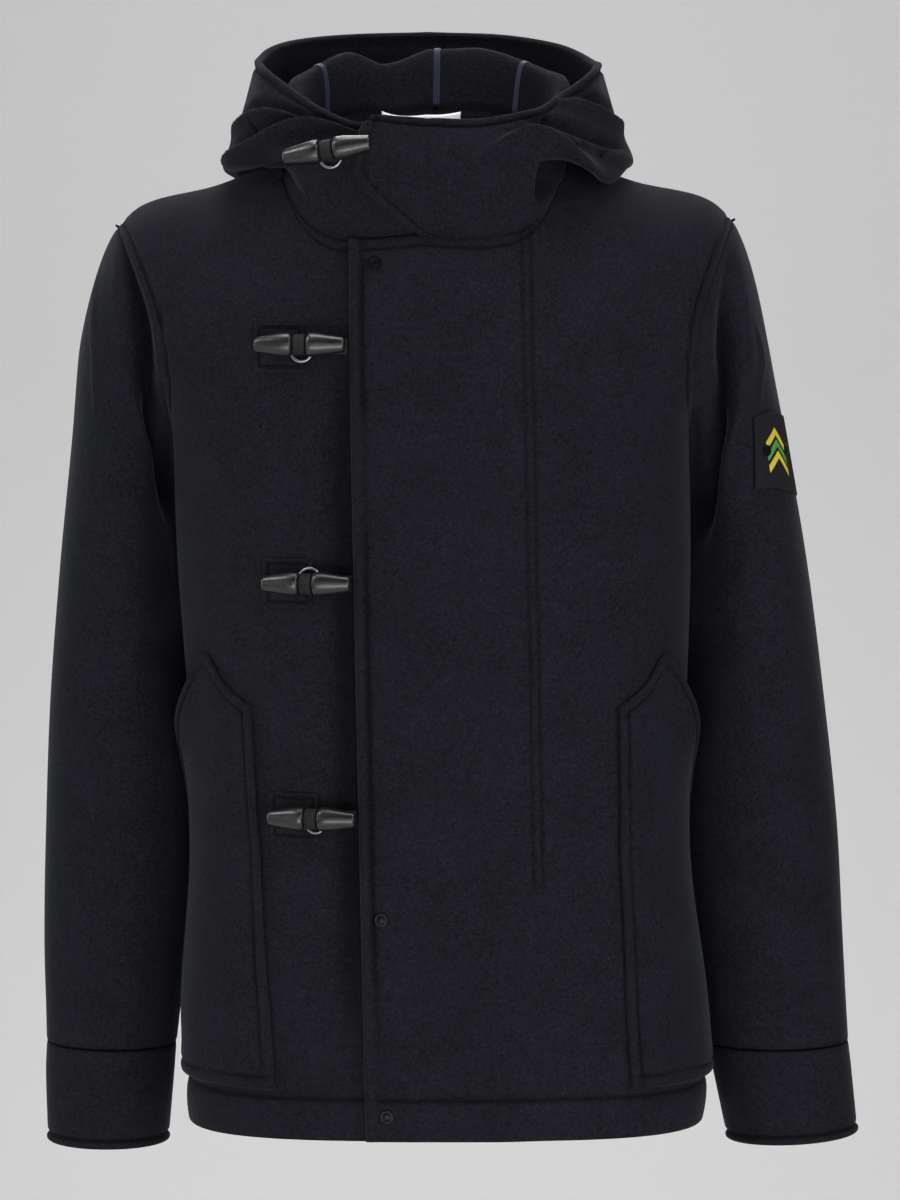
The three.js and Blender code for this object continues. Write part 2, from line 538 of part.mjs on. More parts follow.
// The grids of an arm between two sets of rows, with its outer and inner faces.
function armGrids(side, levels) {
  const turns = side > 0 ? ARM_TURNS.map((turn) => -turn) : ARM_TURNS;
  const outer = levels.map((share) => turns.map((turn) => {
    const own = armPoint(side, share, turn);
    const held = armholePoint(side, turn);
    held.x += side * ARMHOLE_GAP;
    return share < ARMHOLE_BLEND ? held.lerp(own, smooth(share / ARMHOLE_BLEND)) : own;
  }));
  const inner = movedOut(outer, -CLOTH, true);
  if (levels[0] === 0) {
    const middle = new THREE.Vector3();
    outer[0].forEach((point) => middle.addScaledVector(point, 1 / outer[0].length));
    inner[0] = outer[0].map((point) => {
      const inward = middle.clone().sub(point).setX(0).normalize();
      return point.clone().addScaledVector(inward, CLOTH);
    });
  }
  return { outer, inner };
}

function armWall(side, levels) {
  const { outer, inner } = armGrids(side, levels);
  return wallGeometry(outer, inner, true);
}

// ---- the hood ----
// The body's own height under a point, looked at from above.
function bodyTopAt(x, y) {
  return blend(ARMPIT_LEVEL, ridgeTop(x), riseAt(x, y, y < RIDGE_BACK));
}

function hoodPlan(angle, reach) {
  const turn = radians(angle);
  return {
    x: HOOD_MIDDLE.x + reach * Math.sin(turn),
    y: HOOD_MIDDLE.y - reach * Math.cos(turn),
  };
}

// Room between the body's top edge and the hood's lower one, more over the lapped fronts.
const NECK_ROOM = { all: 4.2, front: 1.4, frontEnds: 78, fade: 25 };

// Where the hood is sewn to the neck, at a signed angle.
function neckSeam(angle) {
  let low = 20;
  let high = 200;
  for (let turn = 0; turn < 40; turn += 1) {
    const middle = (low + high) / 2;
    if (neckMeasure(hoodPlan(angle, middle)) < 1) low = middle;
    else high = middle;
  }
  const spot = hoodPlan(angle, low);
  const front = smooth((NECK_ROOM.frontEnds - Math.abs(angle)) / NECK_ROOM.fade);
  return { r: low, z: bodyTopAt(spot.x, spot.y) + NECK_ROOM.all + NECK_ROOM.front * front };
}

const hoodSections = new Map();
function hoodSection(signedAngle) {
  const angle = ((signedAngle + 540) % 360) - 180;
  if (!hoodSections.has(angle)) {
    const seam = neckSeam(angle);
    const roll = along(ROLL_WAVES, 'angle', 'lift', angle);
    const sag = along(SAG_WAVES, 'angle', 'lift', angle);
    const rim = along(RIM_WAVES, 'angle', 'lift', angle);
    const rows = HOOD_POINTS.map((name, index) => {
      const lift = ROLL_SHARE[name] * roll + SAG_SHARE[name] * sag + (name === 'rim' ? rim : 0);
      return {
        share: HOOD_SHARES[index + 1],
        r: along(HOOD_ROWS, 'angle', `${name}R`, Math.abs(angle)),
        z: along(HOOD_ROWS, 'angle', `${name}Z`, Math.abs(angle)) + lift,
      };
    });
    hoodSections.set(angle, [{ share: 0, r: seam.r, z: seam.z }, ...rows]);
  }
  return hoodSections.get(angle);
}

// How far the hood lies clear of the shoulders, and how far out from the middle they reach.
const SHOULDERS = { room: 1.6, half: 215 };
const STAND_STARTS = 0.1;

// A point of the hood's outer face, at a signed angle and a share of the way from neck to rim.
function hoodPoint(angle, share) {
  const rows = hoodSection(angle);
  const reach = along(rows, 'share', 'r', share);
  const { x, y } = hoodPlan(angle, reach);
  let z = along(rows, 'share', 'z', share);
  const overBody = Math.abs(x) < SHOULDERS.half && y > -FRONT_AT_ARMPIT && y < BACK_AT_ARMPIT;
  if (share > STAND_STARTS && overBody) {
    z = Math.max(z, bodyTopAt(x, y) + SHOULDERS.room);
  }
  return new THREE.Vector3(x, y, z);
}

const HOOD_STEPS = [0, 0.06, 0.13, 0.2, 0.26, 0.32, 0.39, 0.47, 0.55, 0.62, 0.7, 0.79, 0.9, 1];

// The outward direction of the hood's face at a place.
function hoodNormal(angle, share) {
  const reach = 0.02;
  const low = Math.max(0, share - reach);
  const high = Math.min(1, share + reach);
  const up = hoodPoint(angle, high).sub(hoodPoint(angle, low));
  const across = hoodPoint(angle - 2, share).sub(hoodPoint(angle + 2, share));
  return up.cross(across).normalize();
}

const hoodPlace = (angle, share, lift) => (
  hoodPoint(angle, share).addScaledVector(hoodNormal(angle, share), lift));

// A piece of the hood between two signed angles.
function hoodWall(firstAngle, lastAngle, count) {
  const angles = steps(lastAngle, firstAngle, count);
  const face = (lift) => HOOD_STEPS.map((share) => angles.map((angle) => hoodPlace(angle, share, lift)));
  return wallGeometry(face(0), face(-CLOTH), false);
}

// The upper throat tab: its free edge runs down, then slants to the middle of the neck seam.
const FLAP_EDGE = [
  { share: 0.02, angle: -1.5 },
  { share: 0.12, angle: -8 },
  { share: 0.25, angle: -14.5 },
  { share: 0.35, angle: -20.5 },
  { share: 0.48, angle: -24.5 },
  { share: 0.6, angle: -24.5 },
  { share: 0.8, angle: -24 },
  { share: 0.94, angle: -23 },
  { share: 1, angle: -19.5 },
];
const FLAP_END_ANGLE = 37;
const FLAP_ROOM = 1.7;

function throatFlap() {
  const shares = [0.02, 0.13, 0.25, 0.38, 0.5, 0.62, 0.75, 0.88, 1];
  const grid = shares.map((share) => {
    const edge = along(FLAP_EDGE, 'share', 'angle', share);
    return steps(FLAP_END_ANGLE, edge, 7).map((angle) => hoodPlace(angle, share, CLOTH + FLAP_ROOM));
  });
  return clothWall(grid);
}

// The label inside the back of the neck: its ends in degrees, its foot and top as shares.
const LABEL = {
  angles: [160.5, 170, 179.9, 190, 200, 207.5], shares: [0.035, 0.09], thickness: 1, room: 1.4,
};

function neckLabel() {
  const grid = LABEL.shares.map((share) => (
    LABEL.angles.map((angle) => hoodPlace(angle, share, -(CLOTH + LABEL.room)))));
  return clothWall(grid, false, LABEL.thickness);
}

// A tape over one of the hood's seams, on the inner face from the stand over the roll.
const BINDING = { width: 4.6, thickness: 1, room: 1.4, from: 0.2, to: 0.79 };

function hoodBinding(angle) {
  const shares = HOOD_STEPS.filter((share) => share >= BINDING.from && share <= BINDING.to);
  const grid = shares.map((share) => {
    const reach = along(hoodSection(angle), 'share', 'r', share);
    const spread = BINDING.width / 2 / radians(1) / reach;
    const room = -(CLOTH + BINDING.room);
    return [angle + spread, angle - spread].map((side) => hoodPlace(side, share, room));
  });
  return clothWall(grid, false, BINDING.thickness);
}

// ---- pockets ----
const POCKET_ROWS = [
  { share: 0, top: -386 }, { share: 0.22, top: -371 }, { share: 0.42, top: -350 },
  { share: 0.56, top: -362 }, { share: 0.78, top: -402 }, { share: 1, top: -450 },
];
const POCKET = { bottom: -655, room: 1.3, sideTurn: 0.14 };
const POCKET_INNER = { left: { top: 126, bottom: 127 }, right: { top: 129, bottom: 118 } };
// The mouth stands out towards its side and its top: where that starts, over what share, how far.
const POCKET_GAPE = { out: 7, across: 0.4, acrossOver: 0.4, up: 0.45, upOver: 0.5 };
const POCKET_ACROSS = [0, 0.12, 0.24, 0.35, 0.45, 0.58, 0.72, 0.86, 1];
const POCKET_UP = [0, 0.16, 0.32, 0.48, 0.64, 0.8, 0.92, 1];

// A tall patch pocket. Its inner edge is straight, its top rises to a point and its mouth falls
// away round the side, standing out from the body.
function pocketGrid(side) {
  const inner = side > 0 ? POCKET_INNER.left : POCKET_INNER.right;
  const columns = POCKET_ACROSS.map((share) => {
    const top = along(POCKET_ROWS, 'share', 'top', share);
    return POCKET_UP.map((part) => {
      const level = blend(POCKET.bottom, top, part);
      const height = level - ARMPIT_LEVEL;
      const centre = bodyRow('centre', level);
      const innerX = centre + side * blend(inner.bottom, inner.top, part);
      const innerTurn = turnAt(innerX, height);
      const sideTurn = side > 0 ? POCKET.sideTurn : halfTurn - POCKET.sideTurn;
      const turn = blend(innerTurn, sideTurn, share);
      const point = bodyPoint(turn, height);
      const away = new THREE.Vector3(point.x - centre, point.y, 0);
      const across = smooth((share - POCKET_GAPE.across) / POCKET_GAPE.acrossOver);
      const up = smooth((part - POCKET_GAPE.up) / POCKET_GAPE.upOver);
      const lift = CLOTH + POCKET.room + POCKET_GAPE.out * across * up;
      const flat = new THREE.Vector3(
        Math.cos(turn) * Math.abs(Math.cos(turn)) ** 0.4,
        -Math.sin(turn),
        0,
      ).normalize();
      return point.addScaledVector(away.normalize().lerp(flat, 0.7).normalize(), lift);
    });
  });
  const grid = columns[0].map((_, i) => columns.map((column) => column[i]));
  return side > 0 ? grid.map((row) => row.slice().reverse()) : grid;
}

// ---- toggles, caps and the badge ----
// One half of a toggle, from its waist to its end: distances along it and radii.
const TOGGLE = { half: 31.8, flat: 0.86, lift: 13.4, sides: 10 };
const TOGGLE_PROFILE = [[4.9, 5.2], [6.5, 7.6], [10, 8.6], [20, 7.2], [29, 5.4], [31.8, 3.2]];
const BAND = { inner: 5.6, outer: 7.0, half: 4.3, sides: 12 };
const RING = { radius: 7.4, wire: 1.0, lift: 4.6, drop: 3.2, wireSides: 5, sides: 14 };
const TAPE = { lift: 2.4, thickness: 1, half: 5.5, tucked: 6, shortOfEdge: 1.2 };
const PATCH = { lift: 0.7, thickness: 1.4, width: 33, half: 17, past: 1 };

function toggleGeometry() {
  const mirrored = TOGGLE_PROFILE.slice().reverse().map(([at, radius]) => [-at, radius]);
  const profile = [[-TOGGLE.half, 0], ...mirrored, ...TOGGLE_PROFILE, [TOGGLE.half, 0]];
  const points = profile.map(([at, radius]) => new THREE.Vector2(radius, at));
  return new THREE.LatheGeometry(points, TOGGLE.sides).scale(1, 1, TOGGLE.flat);
}

function bandGeometry() {
  const { inner, outer, half } = BAND;
  const corners = [[inner, -half], [outer, -half], [outer, half], [inner, half], [inner, -half]];
  const points = corners.map(([radius, at]) => new THREE.Vector2(radius, at));
  return new THREE.LatheGeometry(points, BAND.sides).scale(1, 1, TOGGLE.flat);
}

// A press stud's cap: radii and heights from its foot to its crown.
const CAP_PROFILE = [[0, 0], [5, 0], [5, 1], [3.6, 1.9], [0, 2.1]];
const CAP_SIDES = 12;

function capGeometry() {
  const points = CAP_PROFILE.map(([radius, at]) => new THREE.Vector2(radius, at));
  return new THREE.LatheGeometry(points, CAP_SIDES);
}

// Turns a mesh so that its own Y runs along one direction and its own Z along another.
function stand(mesh, point, ownY, ownZ) {
  const y = ownY.clone().normalize();
  const z = ownZ.clone().addScaledVector(y, -ownZ.dot(y)).normalize();
  const basis = new THREE.Matrix4().makeBasis(y.clone().cross(z), y, z);
  mesh.quaternion.setFromRotationMatrix(basis);
  mesh.position.copy(point);
}

const TOGGLE_ROWS = [
  { name: '2', x: -85, z: -133.5, ringDrop: 1 },
  { name: '3', x: -79, z: -298, ringDrop: -1 },
  { name: '4', x: -75, z: -462.5, ringDrop: 1 },
];

function addToggle(group, name, place, along, ringDrop) {
  const { point, normal } = place;
  const up = normal.clone().cross(along).normalize();
  const axis = point.clone().addScaledVector(normal, TOGGLE.lift);
  const toggle = addPiece(group, `toggle_${name}`, toggleGeometry(), finish(COLOURS.horn, 0.6));
  stand(toggle, axis, along, normal);
  const band = addPiece(group, `toggle_band_${name}`, bandGeometry(), finish(COLOURS.webbing, 0.8));
  stand(band, axis, along, normal);
  const wire = new THREE.TorusGeometry(RING.radius, RING.wire, RING.wireSides, RING.sides);
  const ring = addPiece(group, `toggle_ring_${name}`, wire, finish(COLOURS.metal, 0.35, 1));
  const ringPoint = point.clone().addScaledVector(normal, RING.lift);
  stand(ring, ringPoint.addScaledVector(up, -RING.drop * ringDrop), up, normal);
}

function addFrontToggles(group) {
  TOGGLE_ROWS.forEach(({ name, x, z, ringDrop }) => {
    const place = frontPlace(x, z, 0);
    addToggle(group, name, place, place.across, ringDrop);
    const edge = flyEdgeX(z <= ARMPIT_LEVEL ? z - ARMPIT_LEVEL : (z - ARMPIT_LEVEL) / (-ARMPIT_LEVEL));
    const tape = frontRectangle(
      x - TAPE.tucked, edge - TAPE.shortOfEdge, z - TAPE.half, z + TAPE.half, TAPE.lift, TAPE.thickness);
    addPiece(group, `toggle_tape_${name}`, tape, finish(COLOURS.webbing, 0.8));
    const patch = frontRectangle(
      x - PATCH.width, x + PATCH.past, z - PATCH.half, z + PATCH.half, PATCH.lift, PATCH.thickness);
    addPiece(group, `toggle_patch_${name}`, patch, finish(COLOURS.wool));
  });
}

// The top toggle is fixed to the hood's own front. It leans, in degrees, with its band's tape under it.
const THROAT_TOGGLE = {
  angle: -31.6, share: 0.6, lean: 16, tapeShares: [0.54, 0.66], tapeAngles: [-34, -28.2],
};

function addThroatToggle(group) {
  const { angle, share, lean } = THROAT_TOGGLE;
  const normal = hoodNormal(angle, share);
  const level = hoodPoint(angle + 2, share).sub(hoodPoint(angle - 2, share)).normalize();
  level.addScaledVector(normal, -level.dot(normal)).normalize();
  const tilted = level.applyAxisAngle(normal, radians(lean));
  addToggle(group, '1', { point: hoodPoint(angle, share), normal }, tilted, 1);
  const [low, high] = THROAT_TOGGLE.tapeShares;
  const [first, last] = THROAT_TOGGLE.tapeAngles;
  const grid = steps(low, high, 2).map((at) => (
    steps(last, first, 2).map((turn) => hoodPlace(turn, at, TAPE.lift + TAPE.thickness))));
  addPiece(group, 'toggle_tape_1', clothWall(grid, false, TAPE.thickness), finish(COLOURS.webbing, 0.8));
}

const CAP_ROWS = [{ x: -34.4, z: -76 }, { x: -29.6, z: -533.5 }, { x: -26, z: -671.5 }];

function addCaps(group) {
  CAP_ROWS.forEach(({ x, z }, index) => {
    const { point, normal, across } = frontPlace(x, z, LAP + 0.7);
    const cap = addPiece(group, `snap_${index + 1}`, capGeometry(), finish(COLOURS.cap, 0.4));
    stand(cap, point, normal, across);
  });
}

// The badge's rows as shares of the arm, its sides in degrees, how much further round its front
// side goes at the foot, and how far its outer side hangs lower.
const BADGE = {
  from: 0.224, to: 0.303, frontTurn: 72, outerTurn: 24, swing: 9, slant: 0.024, lift: 1.2,
  thickness: 1.2,
};
const BADGE_BUTTON = { size: 0.8, lift: 0.8 };
const BADGE_BUTTONS = [{ share: 0.272, degrees: 64 }, { share: 0.288, degrees: 35 }];

// A point on the left arm's front, moved out.
function armPlace(share, degrees, lift) {
  const turn = radians(degrees);
  const up = armPoint(1, share - 0.01, turn).sub(armPoint(1, share + 0.01, turn));
  const across = armPoint(1, share, turn + 0.05).sub(armPoint(1, share, turn - 0.05));
  const normal = up.cross(across).normalize();
  return { point: armPoint(1, share, turn).addScaledVector(normal, lift), normal, up };
}

function addBadge(group) {
  const { from, to, frontTurn, outerTurn, swing, slant, lift, thickness } = BADGE;
  const grid = steps(to, from, 3).map((share) => (
    steps(0, 1, 4).map((part) => {
      const low = (share - from) / (to - from);
      const degrees = blend(outerTurn, frontTurn + swing * low, part);
      return armPlace(share + slant * (1 - part), degrees, lift + thickness).point;
    })));
  addPiece(group, 'sleeve_badge', clothWall(grid, false, thickness), finish(COLOURS.badge, 0.9));
  BADGE_BUTTONS.forEach(({ share, degrees }, index) => {
    const { point, normal } = armPlace(share, degrees, lift + thickness + BADGE_BUTTON.lift);
    const shape = capGeometry().scale(BADGE_BUTTON.size, BADGE_BUTTON.size, BADGE_BUTTON.size);
    const button = addPiece(group, `badge_button_${index + 1}`, shape, finish(COLOURS.cap, 0.4));
    stand(button, point, normal, new THREE.Vector3(1, 0, 0));
  });
}

// ---- the whole parka ----
function buildParka() {
  const parka = new THREE.Group();
  const wool = () => finish(COLOURS.wool);
  addPiece(parka, 'front_left', bodyPanel(upperFrontGrid()), wool());
  addPiece(parka, 'front_right', bodyPanel(underFrontGrid()), wool());
  addPiece(parka, 'back', bodyPanel(backGrid()), wool());
  [[1, 'left'], [-1, 'right']].forEach(([side, name]) => {
    addPiece(parka, `sleeve_${name}`, armWall(side, ARM_LEVELS), wool());
    addPiece(parka, `cuff_${name}`, armWall(side, CUFF_LEVELS), finish(COLOURS.cuff));
    addPiece(parka, `pocket_${name}`, clothWall(pocketGrid(side)), wool());
  });
  const { right, left, throat, back } = HOOD_SEAMS;
  const gap = HOOD_SEAMS.halfGap;
  const hoodWool = () => finish(COLOURS.hood);
  addPiece(parka, 'hood_left', hoodWall(throat, left - gap, 12), hoodWool());
  addPiece(parka, 'hood_right', hoodWall(right + gap, throat - gap, 14), hoodWool());
  addPiece(parka, 'hood_back_left', hoodWall(left + gap, back - gap, 4), hoodWool());
  addPiece(parka, 'hood_back_right', hoodWall(back - 360 + gap, right - gap, 5), hoodWool());
  addPiece(parka, 'throat_flap', throatFlap(), wool());
  [right, back, left].forEach((angle, index) => {
    addPiece(parka, `hood_binding_${index + 1}`, hoodBinding(angle), finish(COLOURS.tape, 0.8));
  });
  addPiece(parka, 'neck_label', neckLabel(), finish(COLOURS.label, 0.8));
  addFrontToggles(parka);
  addThroatToggle(parka);
  addCaps(parka);
  addBadge(parka);
  return parka;
}

export default buildParka();
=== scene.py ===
# A hooded toggle parka in thick felted wool, filled out with no wearer, its hood down.
# Shapes are drawn in millimetres, +Z up, the front facing -Y, the wearer's left at +X,
# and are turned into metres as each mesh is made.
import math

import bpy
import numpy as np
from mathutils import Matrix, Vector


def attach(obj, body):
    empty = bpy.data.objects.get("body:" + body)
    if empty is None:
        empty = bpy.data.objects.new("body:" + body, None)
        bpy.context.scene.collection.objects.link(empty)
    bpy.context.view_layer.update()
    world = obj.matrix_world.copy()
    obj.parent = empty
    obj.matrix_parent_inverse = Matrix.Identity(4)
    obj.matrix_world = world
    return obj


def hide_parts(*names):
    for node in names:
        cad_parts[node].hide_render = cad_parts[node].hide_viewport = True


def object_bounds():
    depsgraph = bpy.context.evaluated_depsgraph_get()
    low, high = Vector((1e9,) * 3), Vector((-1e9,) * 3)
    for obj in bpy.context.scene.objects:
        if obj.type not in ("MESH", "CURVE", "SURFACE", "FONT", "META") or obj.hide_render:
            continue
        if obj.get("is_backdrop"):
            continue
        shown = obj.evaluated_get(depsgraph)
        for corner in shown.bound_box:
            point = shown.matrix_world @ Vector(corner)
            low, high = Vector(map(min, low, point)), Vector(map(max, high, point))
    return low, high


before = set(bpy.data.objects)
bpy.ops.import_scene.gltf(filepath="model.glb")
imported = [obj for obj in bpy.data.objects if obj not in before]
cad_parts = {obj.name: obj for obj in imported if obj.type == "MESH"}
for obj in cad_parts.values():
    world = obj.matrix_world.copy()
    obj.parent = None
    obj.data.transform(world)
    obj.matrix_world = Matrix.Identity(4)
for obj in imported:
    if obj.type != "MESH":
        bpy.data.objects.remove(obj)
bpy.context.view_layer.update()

# ---- The cloth of the body ----
# Felted wool, dyed a blue so dark that it is almost black, about 3 mm thick and brushed to a
# short even pile. The same cloth makes the fronts, the back, the sleeves, pockets and hood.
MM = 0.001
CLOTH = 3.0
PILE_DARK = (0.0042, 0.0043, 0.0058, 1)
PILE_LIGHT = (0.0128, 0.0132, 0.0178, 1)


def group_sockets(group, inputs, outputs):
    """Gives a node group its named inputs, with their usual values, and its named outputs."""
    for name, kind, value in inputs:
        socket = group.interface.new_socket(name, in_out="INPUT", socket_type=kind)
        socket.default_value = value
    for name, kind in outputs:
        group.interface.new_socket(name, in_out="OUTPUT", socket_type=kind)
    return group.nodes.new("NodeGroupInput"), group.nodes.new("NodeGroupOutput")


def noise(group, place, scale, detail, roughness, distortion=0.0):
    """A noise texture read at a place."""
    texture = group.nodes.new("ShaderNodeTexNoise")
    texture.inputs["Scale"].default_value = scale
    texture.inputs["Detail"].default_value = detail
    texture.inputs["Roughness"].default_value = roughness
    texture.inputs["Distortion"].default_value = distortion
    group.links.new(place, texture.inputs["Vector"])
    return texture.outputs["Fac"]


def calculate(group, operation, first, second):
    """One sum of a value with a number or another value."""
    node = group.nodes.new("ShaderNodeMath")
    node.operation = operation
    for socket, value in zip(node.inputs, (first, second)):
        if isinstance(value, (int, float)):
            socket.default_value = value
        else:
            group.links.new(value, socket)
    return node.outputs[0]


def spread_out(group, value, low, high, out_low=0.0, out_high=1.0):
    """A value stretched from one range to another."""
    node = group.nodes.new("ShaderNodeMapRange")
    node.inputs["From Min"].default_value = low
    node.inputs["From Max"].default_value = high
    node.inputs["To Min"].default_value = out_low
    node.inputs["To Max"].default_value = out_high
    group.links.new(value, node.inputs["Value"])
    return node.outputs["Result"]


def blend_colours(group, share, first, second):
    """Two colours mixed by a share."""
    node = group.nodes.new("ShaderNodeMix")
    node.data_type = "RGBA"
    for socket, value in ((node.inputs[0], share), (node.inputs[6], first), (node.inputs[7], second)):
        if isinstance(value, (int, float, tuple)):
            socket.default_value = value
        else:
            group.links.new(value, socket)
    return node.outputs[2]


# Felt has no weave: fine fibres lie every way in small clumps, over slow changes of shade.
FIBRES_PER_METRE = 820
CLUMPS_PER_METRE = 380
SHADES_PER_METRE = 26
CLUMP_SHARE = 0.4
SLOW_SHADE = 0.09
CLUMP_HEIGHT = 1.6
PILE_HEIGHT = 0.0006
felt = bpy.data.node_groups.new("felted_pile", "ShaderNodeTree")
felt_in, felt_out = group_sockets(
    felt,
    [("Dark", "NodeSocketColor", PILE_DARK), ("Light", "NodeSocketColor", PILE_LIGHT),
     ("Pile", "NodeSocketFloat", 1.0)],
    [("Colour", "NodeSocketColor"), ("Roughness", "NodeSocketFloat"), ("Normal", "NodeSocketVector"),
     ("Bloom", "NodeSocketFloat")],
)
felt_place = felt.nodes.new("ShaderNodeTexCoord").outputs["Object"]
fibres = noise(felt, felt_place, FIBRES_PER_METRE, 3, 0.6, 0.5)
clumps = noise(felt, felt_place, CLUMPS_PER_METRE, 3, 0.55, 0.8)
shade = noise(felt, felt_place, SHADES_PER_METRE, 3, 0.5)
fibre_part = calculate(felt, "MULTIPLY", fibres, 1 - CLUMP_SHARE)
clump_part = calculate(felt, "MULTIPLY", clumps, CLUMP_SHARE)
mottle = spread_out(felt, calculate(felt, "ADD", fibre_part, clump_part), 0.38, 0.62)
slow = spread_out(felt, shade, 0.3, 0.7, -SLOW_SHADE, SLOW_SHADE)
felt_share = calculate(felt, "ADD", mottle, slow)
felt_colour = blend_colours(felt, felt_share, felt_in.outputs["Dark"], felt_in.outputs["Light"])
felt_bump = felt.nodes.new("ShaderNodeBump")
felt_bump.inputs["Distance"].default_value = PILE_HEIGHT
felt.links.new(felt_in.outputs["Pile"], felt_bump.inputs["Strength"])
felt_height = calculate(felt, "ADD", fibres, calculate(felt, "MULTIPLY", clumps, CLUMP_HEIGHT))
felt.links.new(felt_height, felt_bump.inputs["Height"])
# The wool is darker with less bloom where its pile lies flat at sewing, and as painted shade in grooves,
# seams and folds.
FLAT_PILE_AND_SHADE_DARKENING = 0.62
BLOOM = 0.065
felt_flat_pile_and_shade = felt.nodes.new("ShaderNodeAttribute")
felt_flat_pile_and_shade.attribute_name = "flat_pile_and_shade"
darkened_share = calculate(felt, "MULTIPLY", felt_flat_pile_and_shade.outputs["Fac"], FLAT_PILE_AND_SHADE_DARKENING)
undarkened_share = calculate(felt, "SUBTRACT", 1.0, darkened_share)
felt_shaded = felt.nodes.new("ShaderNodeVectorMath")
felt_shaded.operation = "SCALE"
felt.links.new(felt_colour, felt_shaded.inputs[0])
felt.links.new(undarkened_share, felt_shaded.inputs["Scale"])
felt.links.new(felt_shaded.outputs[0], felt_out.inputs["Colour"])
felt.links.new(calculate(felt, "MULTIPLY", undarkened_share, BLOOM), felt_out.inputs["Bloom"])
felt.links.new(spread_out(felt, clumps, 0.3, 0.7, 0.86, 1.0), felt_out.inputs["Roughness"])
felt.links.new(felt_bump.outputs["Normal"], felt_out.inputs["Normal"])


def new_material(name):
    """An empty material with its surface shader."""
    material = bpy.data.materials.new(name)
    material.use_nodes = True
    return material, material.node_tree, material.node_tree.nodes["Principled BSDF"]


def felt_material(name, dark, light, pile=0.55):
    """Felted wool in two tones of one dye."""
    material, tree, surface = new_material(name)
    node = tree.nodes.new("ShaderNodeGroup")
    node.node_tree = felt
    node.inputs["Dark"].default_value = dark
    node.inputs["Light"].default_value = light
    node.inputs["Pile"].default_value = pile
    tree.links.new(node.outputs["Colour"], surface.inputs["Base Color"])
    tree.links.new(node.outputs["Roughness"], surface.inputs["Roughness"])
    tree.links.new(node.outputs["Normal"], surface.inputs["Normal"])
    surface.inputs["Specular IOR Level"].default_value = 0.05
    tree.links.new(node.outputs["Bloom"], surface.inputs["Sheen Weight"])
    surface.inputs["Sheen Roughness"].default_value = 0.3
    surface.inputs["Sheen Tint"].default_value = (0.80, 0.86, 1.0, 1)
    return material


wool = felt_material("felted_wool", PILE_DARK, PILE_LIGHT)

# ---- The fronts and the back ----
# Three panels sewn at the sides and shoulders. The wearer's left front laps over the right one
# and closes on it; the hem is turned up and stitched round, and the neck edge takes the hood.
ARMPIT_LEVEL = -193
HEM_LEVEL = -690
YOKE_POWER = 2.3
RIDGE_BACK = 20
NECK = {"centre_x": -2, "centre_y": RIDGE_BACK, "half": 103, "front": 127.5, "back": 52,
        "front_power": 3.9, "back_power": 2}
LAP = CLOTH + 0.6
LAP_FADE = (50, 92)
FLY_TOP_LEVEL = -60
FLY_EDGE = {"top": -54, "bottom": -41}
UNDERLAP_X = 20
SEAM_PRESS = 0.2
BODY = {
    "level": [-690, -650, -600, -500, -400, -287, -193],
    "centre": [15, 16, 13.8, 10.7, 9, 6.5, 4],
    "half": [187, 188.8, 188, 178.5, 181, 186.5, 187],
    "front": [137, 137, 136, 135, 134, 133, 130],
    "back": [141, 140, 137, 132, 131, 137, 143],
    "power": [3.2, 3.0, 2.7, 2.5, 2.5, 2.55, 2.95],
}
YOKE = {
    "rise": [0, 0.05, 0.15, 0.30, 0.49, 0.72, 0.88, 1],
    "half": [187, 189, 200, 214, 226, 232, 230, 226],
    "armhole": [187, 187, 188, 191, 197, 210, 219.5, 226],
    "centre": [4, 3.7, 3, 2, 1.2, 0.6, 0.2, 0],
    "power": [2.95, 3, 2.95, 2.8, 2.6, 2.5, 2.5, 2.5],
}
RIDGE = {
    "out": [0, 52, 80, 100, 150, 195, 211, 226],
    "top": [36, 27, 17, 9.5, -11.5, -21.5, -28.5, -42],
}
RIDGE_TILT = 0.01


def along(keys, values, at):
    """A smooth curve through values that stand at rising keys, read at one or many places."""
    keys, values = np.asarray(keys, float), np.asarray(values, float)
    at = np.clip(np.asarray(at, float), keys[0], keys[-1])
    low = np.clip(np.searchsorted(keys, at, side="right") - 1, 0, len(keys) - 2)
    order = np.arange(len(keys))
    before, after = np.maximum(order - 1, 0), np.minimum(order + 1, len(keys) - 1)
    slopes = (values[..., after] - values[..., before]) / (keys[after] - keys[before])

    def pick(table, place):
        if table.ndim == 1:
            return table[place]
        full = np.broadcast_to(table, place.shape + table.shape[-1:])
        return np.take_along_axis(full, place[..., None], -1)[..., 0]

    span = keys[low + 1] - keys[low]
    t = (at - keys[low]) / span
    return (pick(values, low) * (2 * t**3 - 3 * t**2 + 1)
            + pick(values, low + 1) * (3 * t**2 - 2 * t**3)
            + span * pick(slopes, low) * (t**3 - 2 * t**2 + t)
            + span * pick(slopes, low + 1) * (t**3 - t**2))


def smooth(value):
    """Rises softly from 0 to 1."""
    value = np.clip(value, 0, 1)
    return value**2 * (3 - 2 * value)


def mix(first, second, share):
    return first + (second - first) * share


def bend(value, power):
    return np.sign(value) * np.abs(value) ** power


def body_measure(column, height):
    """A measure of the body's section: heights below 0 are under the armpits, 1 is the shoulder seam."""
    return np.where(height <= 0, along(BODY["level"], BODY[column], ARMPIT_LEVEL + height),
                    along(YOKE["rise"], YOKE[column], height))


def ridge_top(x):
    return along(RIDGE["out"], RIDGE["top"], np.abs(x)) + RIDGE_TILT * x


